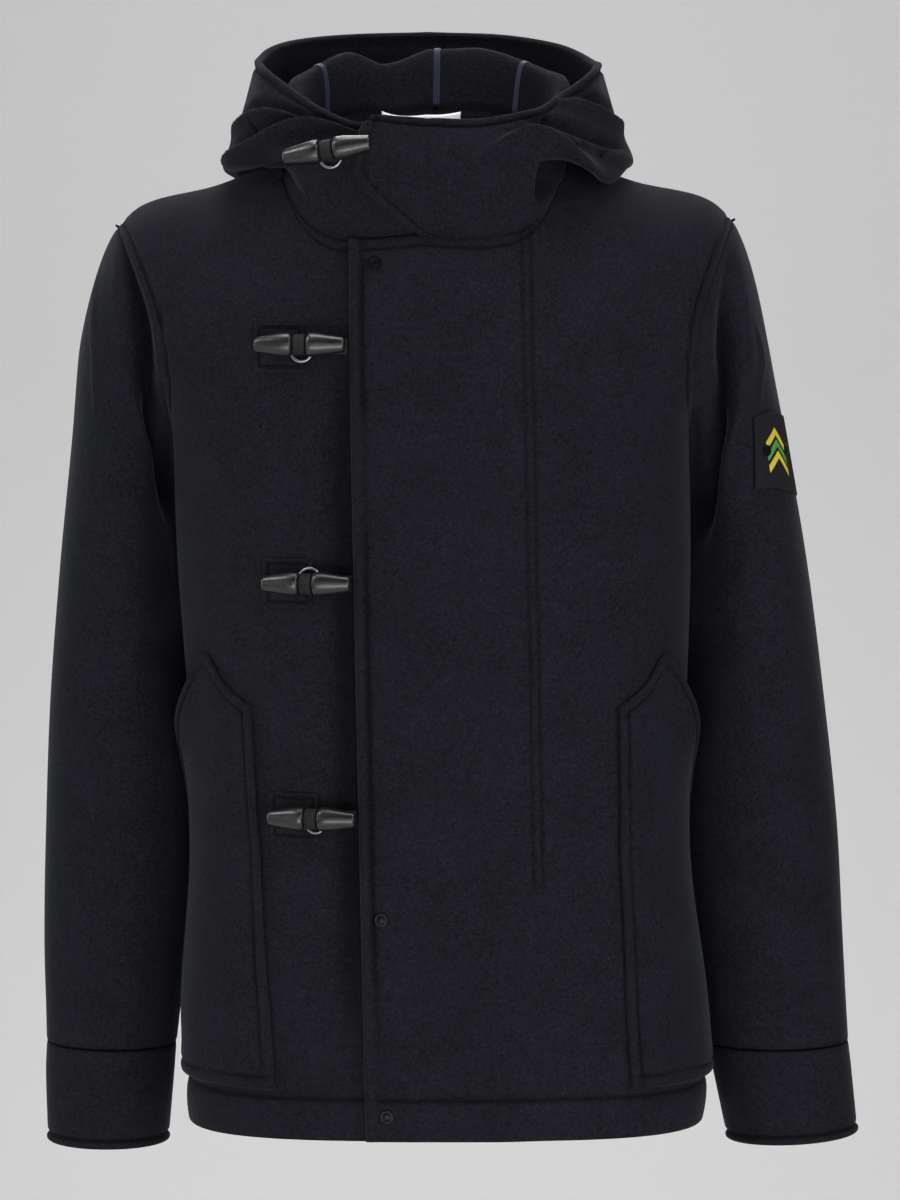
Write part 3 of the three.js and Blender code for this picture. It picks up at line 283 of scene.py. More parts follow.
def body_point(turn, height):
    """The body's outer face. The turn runs from the wearer's left (0) over the front to the right."""
    turn, height = np.broadcast_arrays(np.asarray(turn, float), np.asarray(height, float))
    height = np.minimum(height, 1)
    power = body_measure("power", height)
    across, deep = bend(np.cos(turn), 2 / power), bend(np.sin(turn), 2 / power)
    level, rise = ARMPIT_LEVEL + np.minimum(height, 0), np.clip(height, 0, 1)
    share = (1 - rise**YOKE_POWER) ** (1 / YOKE_POWER)
    ahead, behind = (along(BODY["level"], BODY[column], level) for column in ("front", "back"))
    depth = np.where(deep > 0, ahead, behind)
    x = body_measure("centre", height) + body_measure("half", height) * across
    y = RIDGE_BACK * (1 - share) - depth * deep * share
    z = np.where(height <= 0, level, mix(ARMPIT_LEVEL, ridge_top(x), rise))
    return np.stack([x, y, z], -1)


def turn_at(x, height):
    """The turn at which the body's front reaches a given x."""
    height = np.asarray(height, float)
    across = np.clip((x - body_measure("centre", height)) / body_measure("half", height), -1, 1)
    return np.arccos(bend(across, body_measure("power", height) / 2))


def armhole_turn(height):
    """How far round from the side the armhole's edge is."""
    rise = np.clip(height, 0, 1)
    edge, half = (along(YOKE["rise"], YOKE[column], rise) for column in ("armhole", "half"))
    share = np.minimum(1, edge / half)
    power = body_measure("power", np.asarray(height, float))
    return np.where(np.asarray(height) <= 0, 0, np.arccos(share ** (power / 2)))


def neck_edge(angle, side):
    """The neck opening's edge, at an angle measured from the side towards the back."""
    ahead = np.sin(angle) < 0
    power = np.where(ahead, NECK["front_power"], NECK["back_power"])
    deep = np.where(ahead, NECK["front"], NECK["back"])
    over, up = np.abs(np.cos(angle)) / NECK["half"], np.abs(np.sin(angle)) / deep
    reach = (over**power + up**power) ** (-1 / power)
    return NECK["centre_x"] + side * reach * np.cos(angle), NECK["centre_y"] + reach * np.sin(angle)


def rise_at(x, y, ahead):
    """The rise of the body's surface over a spot seen from above."""
    low, high = np.zeros(np.shape(x)), np.ones(np.shape(x))
    for _ in range(26):
        middle = (low + high) / 2
        spot_y = body_point(turn_at(x, middle) * np.where(ahead, 1, -1), middle)[..., 1]
        short = np.where(ahead, spot_y < y, spot_y > y)
        low, high = np.where(short, middle, low), np.where(short, high, middle)
    return low


def neck_angle_at(x, side):
    """The angle at which the front of the neck opening reaches a given x."""
    low, high = -math.pi, -0.6
    for _ in range(40):
        middle = (low + high) / 2
        inside = side * (float(neck_edge(middle, side)[0]) - x) > 0
        low, high = (low, middle) if inside else (middle, high)
    return low


EDGE_STEPS = np.array([0, 0.15, 0.5, 1.0, 1.6, 2.4, 3.6])
SEWN_SHARPNESS = 3
PANEL_STEP = 3.2
YOKE_LENGTH = 230
YOKE_LEAN = 1.3
NECK_FRONT_RISE = 0.58


def graded(length, step=PANEL_STEP, first=True, last=True):
    """Shares of a length, close together where an edge rolls over and even between."""
    ends = EDGE_STEPS / length
    start, stop = (ends[-1] if first else 0), (1 - ends[-1] if last else 1)
    middle = np.linspace(start, stop, max(3, round(length / step)))
    head = ends[:-1] if first else []
    tail = (1 - ends[:-1])[::-1] if last else []
    return np.concatenate([head, middle, tail])


def fly_edge_x(height):
    level = np.where(height <= 0, ARMPIT_LEVEL + height, mix(ARMPIT_LEVEL, FLY_TOP_LEVEL, height))
    return mix(FLY_EDGE["bottom"], FLY_EDGE["top"], (level - HEM_LEVEL) / (FLY_TOP_LEVEL - HEM_LEVEL))


def panel_grid(first_edge, last_edge, across, corner, ahead, side):
    """A panel's outer face between two edges, its columns leaning in over the yoke to the neck."""
    end = math.pi / 2
    if ahead:
        neck_front = np.array(NECK_FRONT_RISE)
        end = neck_angle_at(float(body_point(last_edge(neck_front), neck_front)[0]), side)
    corner_x = NECK["centre_x"] + side * NECK["half"]
    on_shoulder = across <= corner
    shoulder_x = mix(side * YOKE["half"][-1], corner_x, np.clip(across / corner, 0, 1))
    neck_x, neck_y = neck_edge(mix(0, end, np.clip((across - corner) / (1 - corner), 0, 1)), side)
    rise = np.where(on_shoulder, 1, rise_at(neck_x, neck_y, ahead))
    top_turn = turn_at(np.where(on_shoulder, shoulder_x, neck_x), rise)
    top_turn = top_turn if ahead else 2 * math.pi - top_turn
    share = np.clip((top_turn - first_edge(rise)) / (last_edge(rise) - first_edge(rise)), 0, 1)
    low_part = mix(HEM_LEVEL, ARMPIT_LEVEL, graded(ARMPIT_LEVEL - HEM_LEVEL, last=False)) - ARMPIT_LEVEL
    high_part = graded(YOKE_LENGTH, first=False)[1:]
    heights = np.concatenate([np.repeat(low_part[:, None], len(across), 1), high_part[:, None] * rise], 0)
    lean = np.clip(heights / rise, 0, 1) ** YOKE_LEAN
    turn = mix(first_edge(heights), last_edge(heights), mix(across, share, lean))
    return body_point(turn, heights)


def outward(face, closed=False):
    """The direction square to a grid of points, at each of them."""
    up = np.gradient(face, axis=0)
    over = (np.roll(face, -1, 1) - np.roll(face, 1, 1)) if closed else np.gradient(face, axis=1)
    square = np.cross(up, over)
    return square / np.maximum(np.linalg.norm(square, axis=-1, keepdims=True), 1e-9)


def reach_from(face, border):
    """How far each point of a grid is from one of its borders, measured in the cloth."""
    axis = 1 if border in ("first", "last") else 0
    step = np.linalg.norm(np.diff(face, axis=axis), axis=-1)
    zero = np.zeros_like(step[:, :1]) if axis else np.zeros_like(step[:1])
    reach = np.concatenate([zero, np.cumsum(step, axis)], axis)
    if border in ("last", "top"):
        reach = (reach[:, -1:] if axis else reach[-1:]) - reach
    return reach


def pulled_in(reach, depth, width=1.4):
    """The trough that a row of stitches or a seam leaves."""
    return -depth * np.exp(-((reach / width) ** 2))


def plumped(reach, stitched_at, swell, power):
    """The swell of doubled cloth between its fold and its stitching."""
    return swell * np.sin(math.pi * np.clip(reach / stitched_at, 0, 1)) ** power


def turned_edge(reach, stitched_at, swell, pull):
    """A turned and topstitched edge: plump up to the stitching, pulled in along it."""
    return plumped(reach, stitched_at, swell, 0.7) + pulled_in(reach - stitched_at, pull, 1.5)


def crease(a, b, path, depth, width, other_width=None):
    """A soft ridge, or a trough where depth is negative, along a path, fading at both ends."""
    path = np.array(path, float)
    keys = np.arange(len(path))
    fine = np.linspace(0, len(path) - 1, 5 * (len(path) - 1) + 1)
    line = np.stack([along(keys, path[:, 0], fine), along(keys, path[:, 1], fine)], -1)
    length = np.concatenate([[0], np.cumsum(np.linalg.norm(np.diff(line, axis=0), axis=1))])
    best, place, side = np.full(np.shape(a), 1e9), np.zeros(np.shape(a)), np.ones(np.shape(a))
    for (start, stop), begin in zip(zip(line[:-1], line[1:]), length):
        step = stop - start
        size = np.hypot(*step)
        share = np.clip(((a - start[0]) * step[0] + (b - start[1]) * step[1]) / size**2, 0, 1)
        da, db = a - start[0] - share * step[0], b - start[1] - share * step[1]
        away = np.hypot(da, db)
        nearer = away < best
        best = np.where(nearer, away, best)
        place = np.where(nearer, begin + share * size, place)
        side = np.where(nearer, np.sign(step[0] * db - step[1] * da), side)
    place = place / length[-1]
    fade = smooth(np.minimum(place, 1 - place) / 0.3)
    spread = np.where(side >= 0, width, other_width or width)
    return depth * fade * np.exp(-((best / spread) ** 2))


def add_mesh(name, points, faces, material, uvs=None, flat=False):
    """A mesh piece from points in millimetres, standing at the origin."""
    mesh = bpy.data.meshes.new(name)
    mesh.from_pydata((np.asarray(points) * MM).tolist(), [], [list(map(int, face)) for face in faces])
    if uvs is not None:
        layer = mesh.uv_layers.new(name="UVMap")
        corners = np.zeros(len(mesh.loops), np.int32)
        mesh.loops.foreach_get("vertex_index", corners)
        layer.data.foreach_set("uv", np.asarray(uvs, np.float32)[corners].ravel())
    mesh.polygons.foreach_set("use_smooth", [not flat] * len(mesh.polygons))
    mesh.materials.append(material)
    mesh.update()
    piece = bpy.data.objects.new(name, mesh)
    bpy.context.scene.collection.objects.link(piece)
    return piece


# Sewn edges and grooves are darkened: partly pile laid flat by the sewing, partly painted shade.
SEAM_SHADE = 2.2
SEAM_FLAT_PILE_AND_SHADE = 0.85
GROOVE_DEPTH_FULLY_SHADED = 1.1


def cloth_piece(name, face, material, closed=False, thickness=CLOTH, fine=0.0, inner_fine=0.0, normals=None,
                sewn=(), flat_and_shaded=0.0):
    """A closed wall of cloth behind its outer face, with edges that roll over, sharply where they
    are sewn to another piece. fine is small relief on the outer face, inner_fine on the inner one,
    and flat_and_shaded is how far the outside is darkened, from 0 to 1: pile laid flat and painted shade."""
    normals = outward(face, closed) if normals is None else normals
    half = thickness / 2
    borders = ("bottom", "top") if closed else ("bottom", "top", "first", "last")
    reaches = {border: reach_from(face, border) for border in borders}
    reach = np.min([reaches[border] * (SEWN_SHARPNESS if border in sewn else 1) for border in borders], 0)
    roll = half - np.sqrt(np.maximum(half**2 - (half - np.minimum(reach, half)) ** 2, 0))
    settle = smooth(reach / half)
    outer = face + normals * (settle * fine - roll)[..., None]
    inner = face - normals * (thickness - roll + settle * inner_fine)[..., None]
    rows, columns = face.shape[:2]
    index = np.arange(rows * columns).reshape(rows, columns)
    inner_index = index + rows * columns
    border = np.zeros((rows, columns), bool)
    border[[0, -1]] = True
    if not closed:
        border[:, [0, -1]] = True
    inner_index = np.where(border, index, inner_index)
    used = np.concatenate([np.ones(rows * columns, bool), ~border.ravel()])
    renumber = np.cumsum(used) - 1

    def quads(grid, turned):
        if closed:
            grid = np.concatenate([grid, grid[:, :1]], 1)
        a, b, c, d = grid[:-1, :-1], grid[:-1, 1:], grid[1:, 1:], grid[1:, :-1]
        order = (a, d, c, b) if turned else (a, b, c, d)
        return np.stack(order, -1).reshape(-1, 4)

    faces = np.concatenate([quads(index, True), quads(inner_index, False)])
    faces = renumber[faces]
    points = np.concatenate([outer.reshape(-1, 3), inner.reshape(-1, 3)])[used]
    over = reaches["first"] if not closed else np.cumsum(
        np.linalg.norm(face - np.roll(face, 1, 1), axis=-1), 1)
    uv = np.stack([over, reaches["bottom"]], -1).reshape(-1, 2) * MM
    piece = add_mesh(name, points, faces, material, np.concatenate([uv, uv])[used])
    # The darkening goes into an attribute that the wool reads: pile laid flat and painted shade together.
    seam_reach = np.min([reaches[border] for border in sewn] or [reach + SEAM_SHADE], 0)
    seam_flat_pile_and_shade = SEAM_FLAT_PILE_AND_SHADE * smooth(1 - seam_reach / SEAM_SHADE)
    flat_pile_and_shade = [np.clip(-side * np.ones((rows, columns)) / GROOVE_DEPTH_FULLY_SHADED, 0, 1) for side in (fine, inner_fine)]
    flat_pile_and_shade[0] = np.maximum(flat_pile_and_shade[0], flat_and_shaded)
    flat_pile_and_shade = np.concatenate([np.maximum(side, seam_flat_pile_and_shade).ravel() for side in flat_pile_and_shade])[used]
    layer = piece.data.attributes.new("flat_pile_and_shade", "FLOAT", "POINT")
    layer.data.foreach_set("value", flat_pile_and_shade.astype(np.float32))
    return piece, outer


def trace(face, field, by="rows", keep=None, lift=-0.1):
    """The line on a face where a field passes through 0, looked for along each row or column."""
    normals = outward(face)
    if by == "columns":
        face, normals, field = face.transpose(1, 0, 2), normals.transpose(1, 0, 2), field.T
        keep = None if keep is None else keep.T
    line = []
    for row in range(face.shape[0]):
        crossing = np.nonzero(np.diff(np.sign(field[row])) != 0)[0]
        if keep is not None:
            crossing = [j for j in crossing if keep[row, j]]
        if len(crossing) == 0:
            continue
        j = crossing[0]
        share = field[row, j] / (field[row, j] - field[row, j + 1])
        before, after = (face[row, k] + lift * normals[row, k] for k in (j, j + 1))
        line.append(mix(before, after, share))
    return np.array(line)


def ribbed_material(name, reads, ribs, uneven, tones, roughness, specular):
    """Thread, tape or webbing, whose fine ribs lie in two tones. The ribs follow the piece's own
    place or its UV map."""
    material, tree, surface = new_material(name)
    wave = tree.nodes.new("ShaderNodeTexWave")
    wave.inputs["Scale"].default_value = ribs
    wave.inputs["Distortion"].default_value = uneven
    tree.links.new(tree.nodes.new("ShaderNodeTexCoord").outputs[reads], wave.inputs["Vector"])
    tree.links.new(blend_colours(tree, wave.outputs["Fac"], *tones), surface.inputs["Base Color"])
    surface.inputs["Roughness"].default_value = roughness
    surface.inputs["Specular IOR Level"].default_value = specular
    return material, tree, surface, wave.outputs["Fac"]


# The sewing thread, a little glossier than the wool. Its stitches are set out along each line.
THREAD_TONES = ((0.002, 0.002, 0.003, 1), (0.005, 0.005, 0.007, 1))
thread = ribbed_material("sewing_thread", "Object", 900, 1.5, THREAD_TONES, 0.8, 0.1)[0]

STITCH = {"Stitch pitch": 3.4, "Stitch length": 2.7, "Thread thickness": 0.55}
sewing = bpy.data.node_groups.new("row_of_stitches", "GeometryNodeTree")
sewing.interface.new_socket("Geometry", in_out="OUTPUT", socket_type="NodeSocketGeometry")
sewing.interface.new_socket("Geometry", in_out="INPUT", socket_type="NodeSocketGeometry")
for input_name in STITCH:
    sewing.interface.new_socket(input_name, in_out="INPUT", socket_type="NodeSocketFloat")
sewing.interface.new_socket("Thread", in_out="INPUT", socket_type="NodeSocketMaterial")
sewing_in, sewing_out = sewing.nodes.new("NodeGroupInput"), sewing.nodes.new("NodeGroupOutput")
as_curve = sewing.nodes.new("GeometryNodeMeshToCurve")
spaced = sewing.nodes.new("GeometryNodeResampleCurve")
spaced.mode = "LENGTH"
one_stitch = sewing.nodes.new("GeometryNodeMeshUVSphere")
one_stitch.inputs["Segments"].default_value = 6
one_stitch.inputs["Rings"].default_value = 4
one_stitch.inputs["Radius"].default_value = 0.5
stitch_size = sewing.nodes.new("ShaderNodeCombineXYZ")
heading = sewing.nodes.new("GeometryNodeInputTangent")
lay_along = sewing.nodes.new("FunctionNodeAlignRotationToVector")
lay_along.axis = "Z"
set_stitches = sewing.nodes.new("GeometryNodeInstanceOnPoints")
real = sewing.nodes.new("GeometryNodeRealizeInstances")
threaded = sewing.nodes.new("GeometryNodeSetMaterial")
rounded = sewing.nodes.new("GeometryNodeSetShadeSmooth")
for start, stop in (
    (sewing_in.outputs["Geometry"], as_curve.inputs["Mesh"]),
    (as_curve.outputs["Curve"], spaced.inputs["Curve"]),
    (sewing_in.outputs["Stitch pitch"], spaced.inputs["Length"]),
    (spaced.outputs["Curve"], set_stitches.inputs["Points"]),
    (one_stitch.outputs["Mesh"], set_stitches.inputs["Instance"]),
    (sewing_in.outputs["Thread thickness"], stitch_size.inputs["X"]),
    (sewing_in.outputs["Thread thickness"], stitch_size.inputs["Y"]),
    (sewing_in.outputs["Stitch length"], stitch_size.inputs["Z"]),
    (stitch_size.outputs["Vector"], set_stitches.inputs["Scale"]),
    (heading.outputs["Tangent"], lay_along.inputs["Vector"]),
    (lay_along.outputs["Rotation"], set_stitches.inputs["Rotation"]),
    (set_stitches.outputs["Instances"], real.inputs["Geometry"]),
    (real.outputs["Geometry"], rounded.inputs["Geometry"]),
    (rounded.outputs["Geometry"], threaded.inputs["Geometry"]),
    (sewing_in.outputs["Thread"], threaded.inputs["Material"]),
    (threaded.outputs["Geometry"], sewing_out.inputs["Geometry"]),
):
    sewing.links.new(start, stop)


def stitched(name, lines, material=None, **sizes):
    """Sews rows of stitches along lines of points, as one plain mesh."""
    points, edges = [], []
    for line in lines:
        if len(line) > 1:
            edges += [(len(points) + k, len(points) + k + 1) for k in range(len(line) - 1)]
            points += (np.asarray(line) * MM).tolist()
    mesh = bpy.data.meshes.new(name)
    mesh.from_pydata(points, edges, [])
    path = bpy.data.objects.new(name + "_path", mesh)
    bpy.context.scene.collection.objects.link(path)
    modifier = path.modifiers.new("sewing", "NODES")
    modifier.node_group = sewing
    sockets = {item.name: item.identifier for item in sewing.interface.items_tree if item.in_out == "INPUT"}
    for input_name, value in {**STITCH, **sizes}.items():
        modifier[sockets[input_name]] = value * MM
    modifier[sockets["Thread"]] = material or thread
    evaluated = path.evaluated_get(bpy.context.evaluated_depsgraph_get())
    made = bpy.data.meshes.new_from_object(evaluated)
    path.modifiers.remove(modifier)
    bpy.data.objects.remove(path)
    made.name = name
    piece = bpy.data.objects.new(name, made)
    bpy.context.scene.collection.objects.link(piece)
    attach(piece, "root")
    return piece


def dress(piece, slot, *nodes):
    """Puts a piece on the parka in place of its plain solids."""
    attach(piece, "root")
    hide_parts(*nodes)
    return piece


# The broad creases of the body: soft and few, because felt this thick hardly folds. Each is a
# path of places across the front or the back (x, z), its height, and how wide it is.
FRONT_CREASES = [
    ([(-128, -25), (-112, -60), (-88, -100), (-70, -150)], -2.2, 13, 22),
    ([(-150, -60), (-128, -110), (-112, -170)], 1.6, 20, 26),
    ([(128, -30), (112, -72), (100, -120)], -1.6, 12, 22),
    ([(-172, -190), (-150, -235), (-118, -262)], -1.6, 14, 20),
    ([(176, -185), (150, -232), (120, -262)], -1.5, 14, 20),
    ([(-160, -470), (-120, -486), (-84, -480)], -1.1, 16, 24),
    ([(165, -480), (125, -500), (95, -492)], -1.1, 18, 22),
    ([(150, -560), (110, -548), (60, -560)], 1.0, 22, 22),
    ([(-150, -585), (-110, -570), (-72, -585)], 0.9, 22, 22),
    ([(20, -590), (30, -640), (24, -688)], -1.1, 14, 18),
    ([(-120, -600), (-112, -650), (-118, -688)], 1.0, 16, 16),
    ([(120, -610), (112, -655), (118, -688)], -1.0, 16, 16),
]
BACK_CREASES = [
    ([(-120, -30), (-100, -90), (-60, -140)], -2.0, 16, 24),
    ([(125, -35), (98, -100), (70, -150)], -2.2, 16, 22),
    ([(-165, -190), (-130, -235), (-80, -250)], -2.2, 14, 22),
    ([(170, -195), (128, -232), (86, -262)], -1.9, 15, 24),
    ([(-140, -430), (-60, -450), (30, -442)], -2.4, 16, 24),
    ([(150, -452), (90, -468), (20, -462)], -2.0, 16, 22),
    ([(-60, -500), (0, -512), (70, -500)], -1.4, 20, 22),
    ([(-80, -600), (-72, -650), (-84, -688)], 1.5, 18, 18),
    ([(60, -600), (70, -650), (62, -688)], -1.4, 18, 18),
]


def creased(x, z, creases):
    return sum(crease(x, z, *one) for one in creases)


HEM_STITCH = 30
HEM_TUCK = 46
HEM_SWELL = 1.5


def hem_relief(z):
    """The turned-up hem: plump below its stitching, drawn in along it, a soft swell above."""
    up = z - HEM_LEVEL
    return (plumped(up, HEM_STITCH, HEM_SWELL, 0.8) + pulled_in(up - HEM_STITCH, HEM_SWELL, 3.2)
            + pulled_in(up - HEM_TUCK, -0.8, 9))


def draped(face, creases, raised=0.0):
    """A panel with its creases and the swell of its hem, raised where it laps over another."""
    relief = raised + creased(face[..., 0], face[..., 2], creases) + hem_relief(face[..., 2])
    return face + outward(face) * relief[..., None]


ARMHOLE_STITCH = 8.5
TOP_STITCH = 8.5
SEAM_DIP = (0.35, 3.2)
CORNER_DIP = (2.6, 8)


def seamed(face, side_reach, top_reach):
    """How far a panel is drawn in at its seams, at their corner, round the armhole and at the hem."""
    z = face[..., 2]
    high_up = smooth((z - ARMPIT_LEVEL) / 30)
    return (pulled_in(side_reach, *SEAM_DIP) + pulled_in(side_reach - ARMHOLE_STITCH, 1.5) * high_up
            + pulled_in(top_reach, *SEAM_DIP) + pulled_in(np.hypot(side_reach, top_reach), *CORNER_DIP)
            + pulled_in(z - HEM_LEVEL - HEM_STITCH, 1.2, 1.4))


# The under front. It runs from the right side seam to a plain edge hidden under the other front,
# and sinks a little beside the fly that lies on it.
UNDER_CORNER = 4 / 11
BESIDE_FLY_DEPTH = 4.6
BESIDE_FLY_PATH = [(-60, -60), (-57, -260), (-53.5, -420), (-50, -600), (-48, -700)]
BESIDE_FLY = [(BESIDE_FLY_PATH, -BESIDE_FLY_DEPTH, 20, 11)]
BESIDE_FLY_PAINTED_SHADE = 0.8
columns = np.unique(np.concatenate([graded(236), [UNDER_CORNER]]))
under = panel_grid(lambda h: math.pi - armhole_turn(h), lambda h: turn_at(UNDERLAP_X, h), columns,
                   UNDER_CORNER, True, -1)[:, ::-1]
under[..., 1] += SEAM_PRESS / 2
under = draped(under, FRONT_CREASES + BESIDE_FLY)
under_side, under_top = reach_from(under, "last"), reach_from(under, "top")
under_fine = seamed(under, under_side, under_top) + pulled_in(under_top - TOP_STITCH, 1.2)
# Painted shade darkens the wool in the trough beside the fly, where the fly's edge stands over it.
beside_fly_shade_share = -creased(under[..., 0], under[..., 2], BESIDE_FLY) / BESIDE_FLY_DEPTH
front_right, under_face = cloth_piece("front_right_panel", under, wool, fine=under_fine, sewn=("last", "top"),
                                      flat_and_shaded=BESIDE_FLY_PAINTED_SHADE * np.clip(beside_fly_shade_share, 0, 1))
dress(front_right, "wool", "front_right")

# The upper front. Its free edge and its top are turned in and stitched, and two rows of
# stitching down its middle hold the facing behind it.
UPPER_CORNER = 4 / 13
FLY_STITCH = 8.2
FACING = {"top": (-58, 68), "bottom": (-515, 77.2), "apart": 6.3, "room": 7, "spacing": 1.3 / 246,
          "dip": (0.7, 1.5)}


def facing_line(z):
    """Where the first row of the facing's stitching is at each level."""
    (top, top_x), (bottom, bottom_x) = FACING["top"], FACING["bottom"]
    return mix(bottom_x, top_x, (z - bottom) / (top - bottom))


def upper_panel(columns):
    """The upper front's outer face, from its side seam to the fly's edge."""
    return panel_grid(armhole_turn, lambda h: turn_at(fly_edge_x(h), h), columns, UPPER_CORNER, True, 1)


columns = np.unique(np.concatenate([graded(246, 2.8), [UPPER_CORNER]]))
upper = upper_panel(columns)
# The columns are closer together where the facing's stitching crosses them.
from_facing = np.abs(upper[..., 0] - facing_line(upper[..., 2]) - FACING["apart"] / 2)
crossed = columns[((from_facing < FACING["room"]) & (upper[..., 2] > FACING["bottom"][0])).any(0)]
columns = np.unique(np.concatenate([columns, np.arange(crossed[0], crossed[-1], FACING["spacing"])]))
upper = upper_panel(columns)
upper[..., 1] += SEAM_PRESS / 2
lap = LAP * (1 - smooth((upper[..., 0] - LAP_FADE[0]) / (LAP_FADE[1] - LAP_FADE[0])))
upper = draped(upper, FRONT_CREASES, lap)
x, z = upper[..., 0], upper[..., 2]
fly_reach, upper_side, upper_top = (reach_from(upper, border) for border in ("last", "first", "top"))
from_first_row = x - facing_line(z)
facing_rows_dip = (pulled_in(from_first_row, *FACING["dip"])
                   + pulled_in(from_first_row - FACING["apart"], *FACING["dip"]))
facing_long = smooth((z - FACING["bottom"][0]) / 4)
upper_fine = (turned_edge(fly_reach, FLY_STITCH, 2.4, 2.2) + facing_rows_dip * facing_long
              + seamed(upper, upper_side, upper_top) + pulled_in(upper_top - TOP_STITCH, 1.2))
front_left, upper_face = cloth_piece("front_left_panel", upper, wool, fine=upper_fine, sewn=("first", "top"))
dress(front_left, "wool", "front_left")

# The back, in one piece from side seam to side seam, sewn to both fronts on the shoulders.
BACK_CORNER = 0.5
columns = np.unique(np.concatenate([graded(290, last=False), [BACK_CORNER]]))
middle = lambda h: np.full(np.shape(h), 1.5 * math.pi)
right_half = panel_grid(lambda h: math.pi + armhole_turn(h), middle, columns, BACK_CORNER, False, -1)
left_half = panel_grid(lambda h: 2 * math.pi - armhole_turn(h), middle, columns, BACK_CORNER, False, 1)
back = np.concatenate([right_half, left_half[:, :-1][:, ::-1]], 1)
back[..., 1] -= SEAM_PRESS / 2
back = draped(back, BACK_CREASES)
back_first, back_last, back_top = (reach_from(back, border) for border in ("first", "last", "top"))
back_fine = seamed(back, np.minimum(back_first, back_last), back_top)
back_panel, back_face = cloth_piece("back_panel", back, wool, fine=back_fine, sewn=("first", "last", "top"))
dress(back_panel, "wool", "back")

hem_rows = [trace(face, face[..., 2] - HEM_LEVEL - HEM_STITCH, "columns", face[..., 2] < HEM_LEVEL + 60)
            for face in (under_face, upper_face, back_face)]
fly_row = trace(upper_face, fly_reach - FLY_STITCH)
facing_rows = [trace(upper_face, from_first_row - apart, "rows", z > FACING["bottom"][0])
               for apart in (0, FACING["apart"])]
body_top_rows = [trace(face, reach - TOP_STITCH, "columns")
                 for face, reach in ((upper_face, upper_top), (under_face, under_top))]
armhole_rows = [trace(face, reach - ARMHOLE_STITCH, "rows", plain[..., 2] > ARMPIT_LEVEL)
                for face, reach, plain in ((under_face, under_side, under), (upper_face, upper_side, upper),
                                           (back_face, back_first, back), (back_face, back_last, back))]
stitched("body_stitching", [*hem_rows, fly_row, *facing_rows, *body_top_rows, *armhole_rows])

# ---- The sleeves and cuffs ----
# Each sleeve is one tube set into its armhole, hanging straight and a little open at the side,
# with a turned and stitched cuff band sewn to its lower end.
ARM_ALONG = [0, 0.05, 0.11, 0.19, 0.28, 0.40, 0.53, 0.66, 0.78, 0.885, 0.92, 1]
ARM_MIDDLE = [8, 9, 12, 16, 22, 27, 31, 32, 26, 14, 9, 3]
ARM_DEPTH = [77, 79, 80, 79, 77, 74, 70, 65, 58, 51, 48, 47]
RIGHT_ARM = {
    "outer_x": [226, 235, 244.5, 252.5, 258.5, 268.2, 276.4, 280.4, 281.6, 279, 279.3, 277.3],
    "outer_z": [-44.3, -57, -84, -132, -195, -287, -385, -480, -565, -640, -662, -712],
    "inner_x": [184, 184, 183.9, 183.2, 182, 178.6, 172.4, 167, 175, 183.5, 185, 189],
    "inner_z": [-193, -199, -208, -226, -254, -312, -395, -484, -565, -642, -664, -713],
}
LEFT_ARM = {
    "outer_x": [226, 233, 243, 251, 263.5, 280.2, 293.4, 303.8, 308, 311.4, 313.2, 317.5],
    "outer_z": [-39.7, -52, -82, -132, -195, -287, -385, -480, -565, -640, -660, -706],
    "inner_x": [191.8, 192.2, 192.6, 193, 193.4, 192.4, 190, 188.2, 196.5, 208, 212, 222],
    "inner_z": [-193, -199, -208, -226, -254, -312, -395, -484, -565, -642, -664, -712],
}
CUFF_START = 0.885
CUFF_ROOM = 0.0012
ARMHOLE_BLEND = 0.2
ARMHOLE_GAP = -1.4
# Creases of a sleeve: (turn in degrees from the outer side over the front, share of the way down).
# Under each head the cloth folds in beside the armhole, and a narrow soft ridge runs down outside.
HEAD_CREASES = {
    1: [
        ([(48, 0.045), (68, 0.115), (80, 0.14), (94, 0.16), (116, 0.178), (136, 0.235), (150, 0.36)],
         -18.0, 12, 20),
        ([(42, 0.07), (58, 0.13), (66, 0.165), (80, 0.19), (100, 0.21), (120, 0.26)], 2.5, 11, 6),
        ([(46, 0.14), (40, 0.185), (52, 0.20), (61, 0.22), (68, 0.245)], 1.7, 3, 4),
    ],
    -1: [
        ([(30, 0.0), (60, 0.055), (76, 0.08), (94, 0.105), (108, 0.127), (130, 0.147), (150, 0.185),
          (158, 0.33)], -16.0, 12, 20),
        ([(28, 0.03), (52, 0.08), (66, 0.105), (84, 0.13), (98, 0.15), (118, 0.17), (136, 0.205)],
         2.5, 11, 6),
        ([(9, 0.105), (27, 0.135), (43, 0.16), (56, 0.185), (63, 0.225), (69, 0.255)], 1.9, 3, 4),
    ],
}
ARM_CREASES = [
    ([(150, 0.36), (122, 0.375), (96, 0.385)], -2.4, 12, 18),
    ([(160, 0.45), (132, 0.46), (106, 0.45)], -2.6, 12, 18),
    ([(158, 0.53), (124, 0.53), (92, 0.55)], -1.8, 12, 20),
    ([(60, 0.58), (90, 0.60), (124, 0.59)], -1.4, 14, 18),
    ([(150, 0.68), (112, 0.70), (80, 0.69)], -1.6, 12, 18),
    ([(150, 0.84), (112, 0.85), (76, 0.84)], -1.5, 10, 14),
    ([(318, 0.03), (296, 0.10), (278, 0.15), (256, 0.21), (236, 0.30)], -8.0, 24, 6),
    ([(200, 0.36), (236, 0.38), (272, 0.37)], -4.0, 13, 20),
    ([(205, 0.46), (246, 0.48), (282, 0.46)], -4.5, 13, 20),
    ([(210, 0.58), (252, 0.57), (288, 0.59)], -3.0, 13, 20),
    ([(214, 0.74), (250, 0.76), (290, 0.75)], -2.6, 12, 18),
]
HEAD_HELD = 0.03
ARM_LENGTH = 620
ARM_AROUND = 350


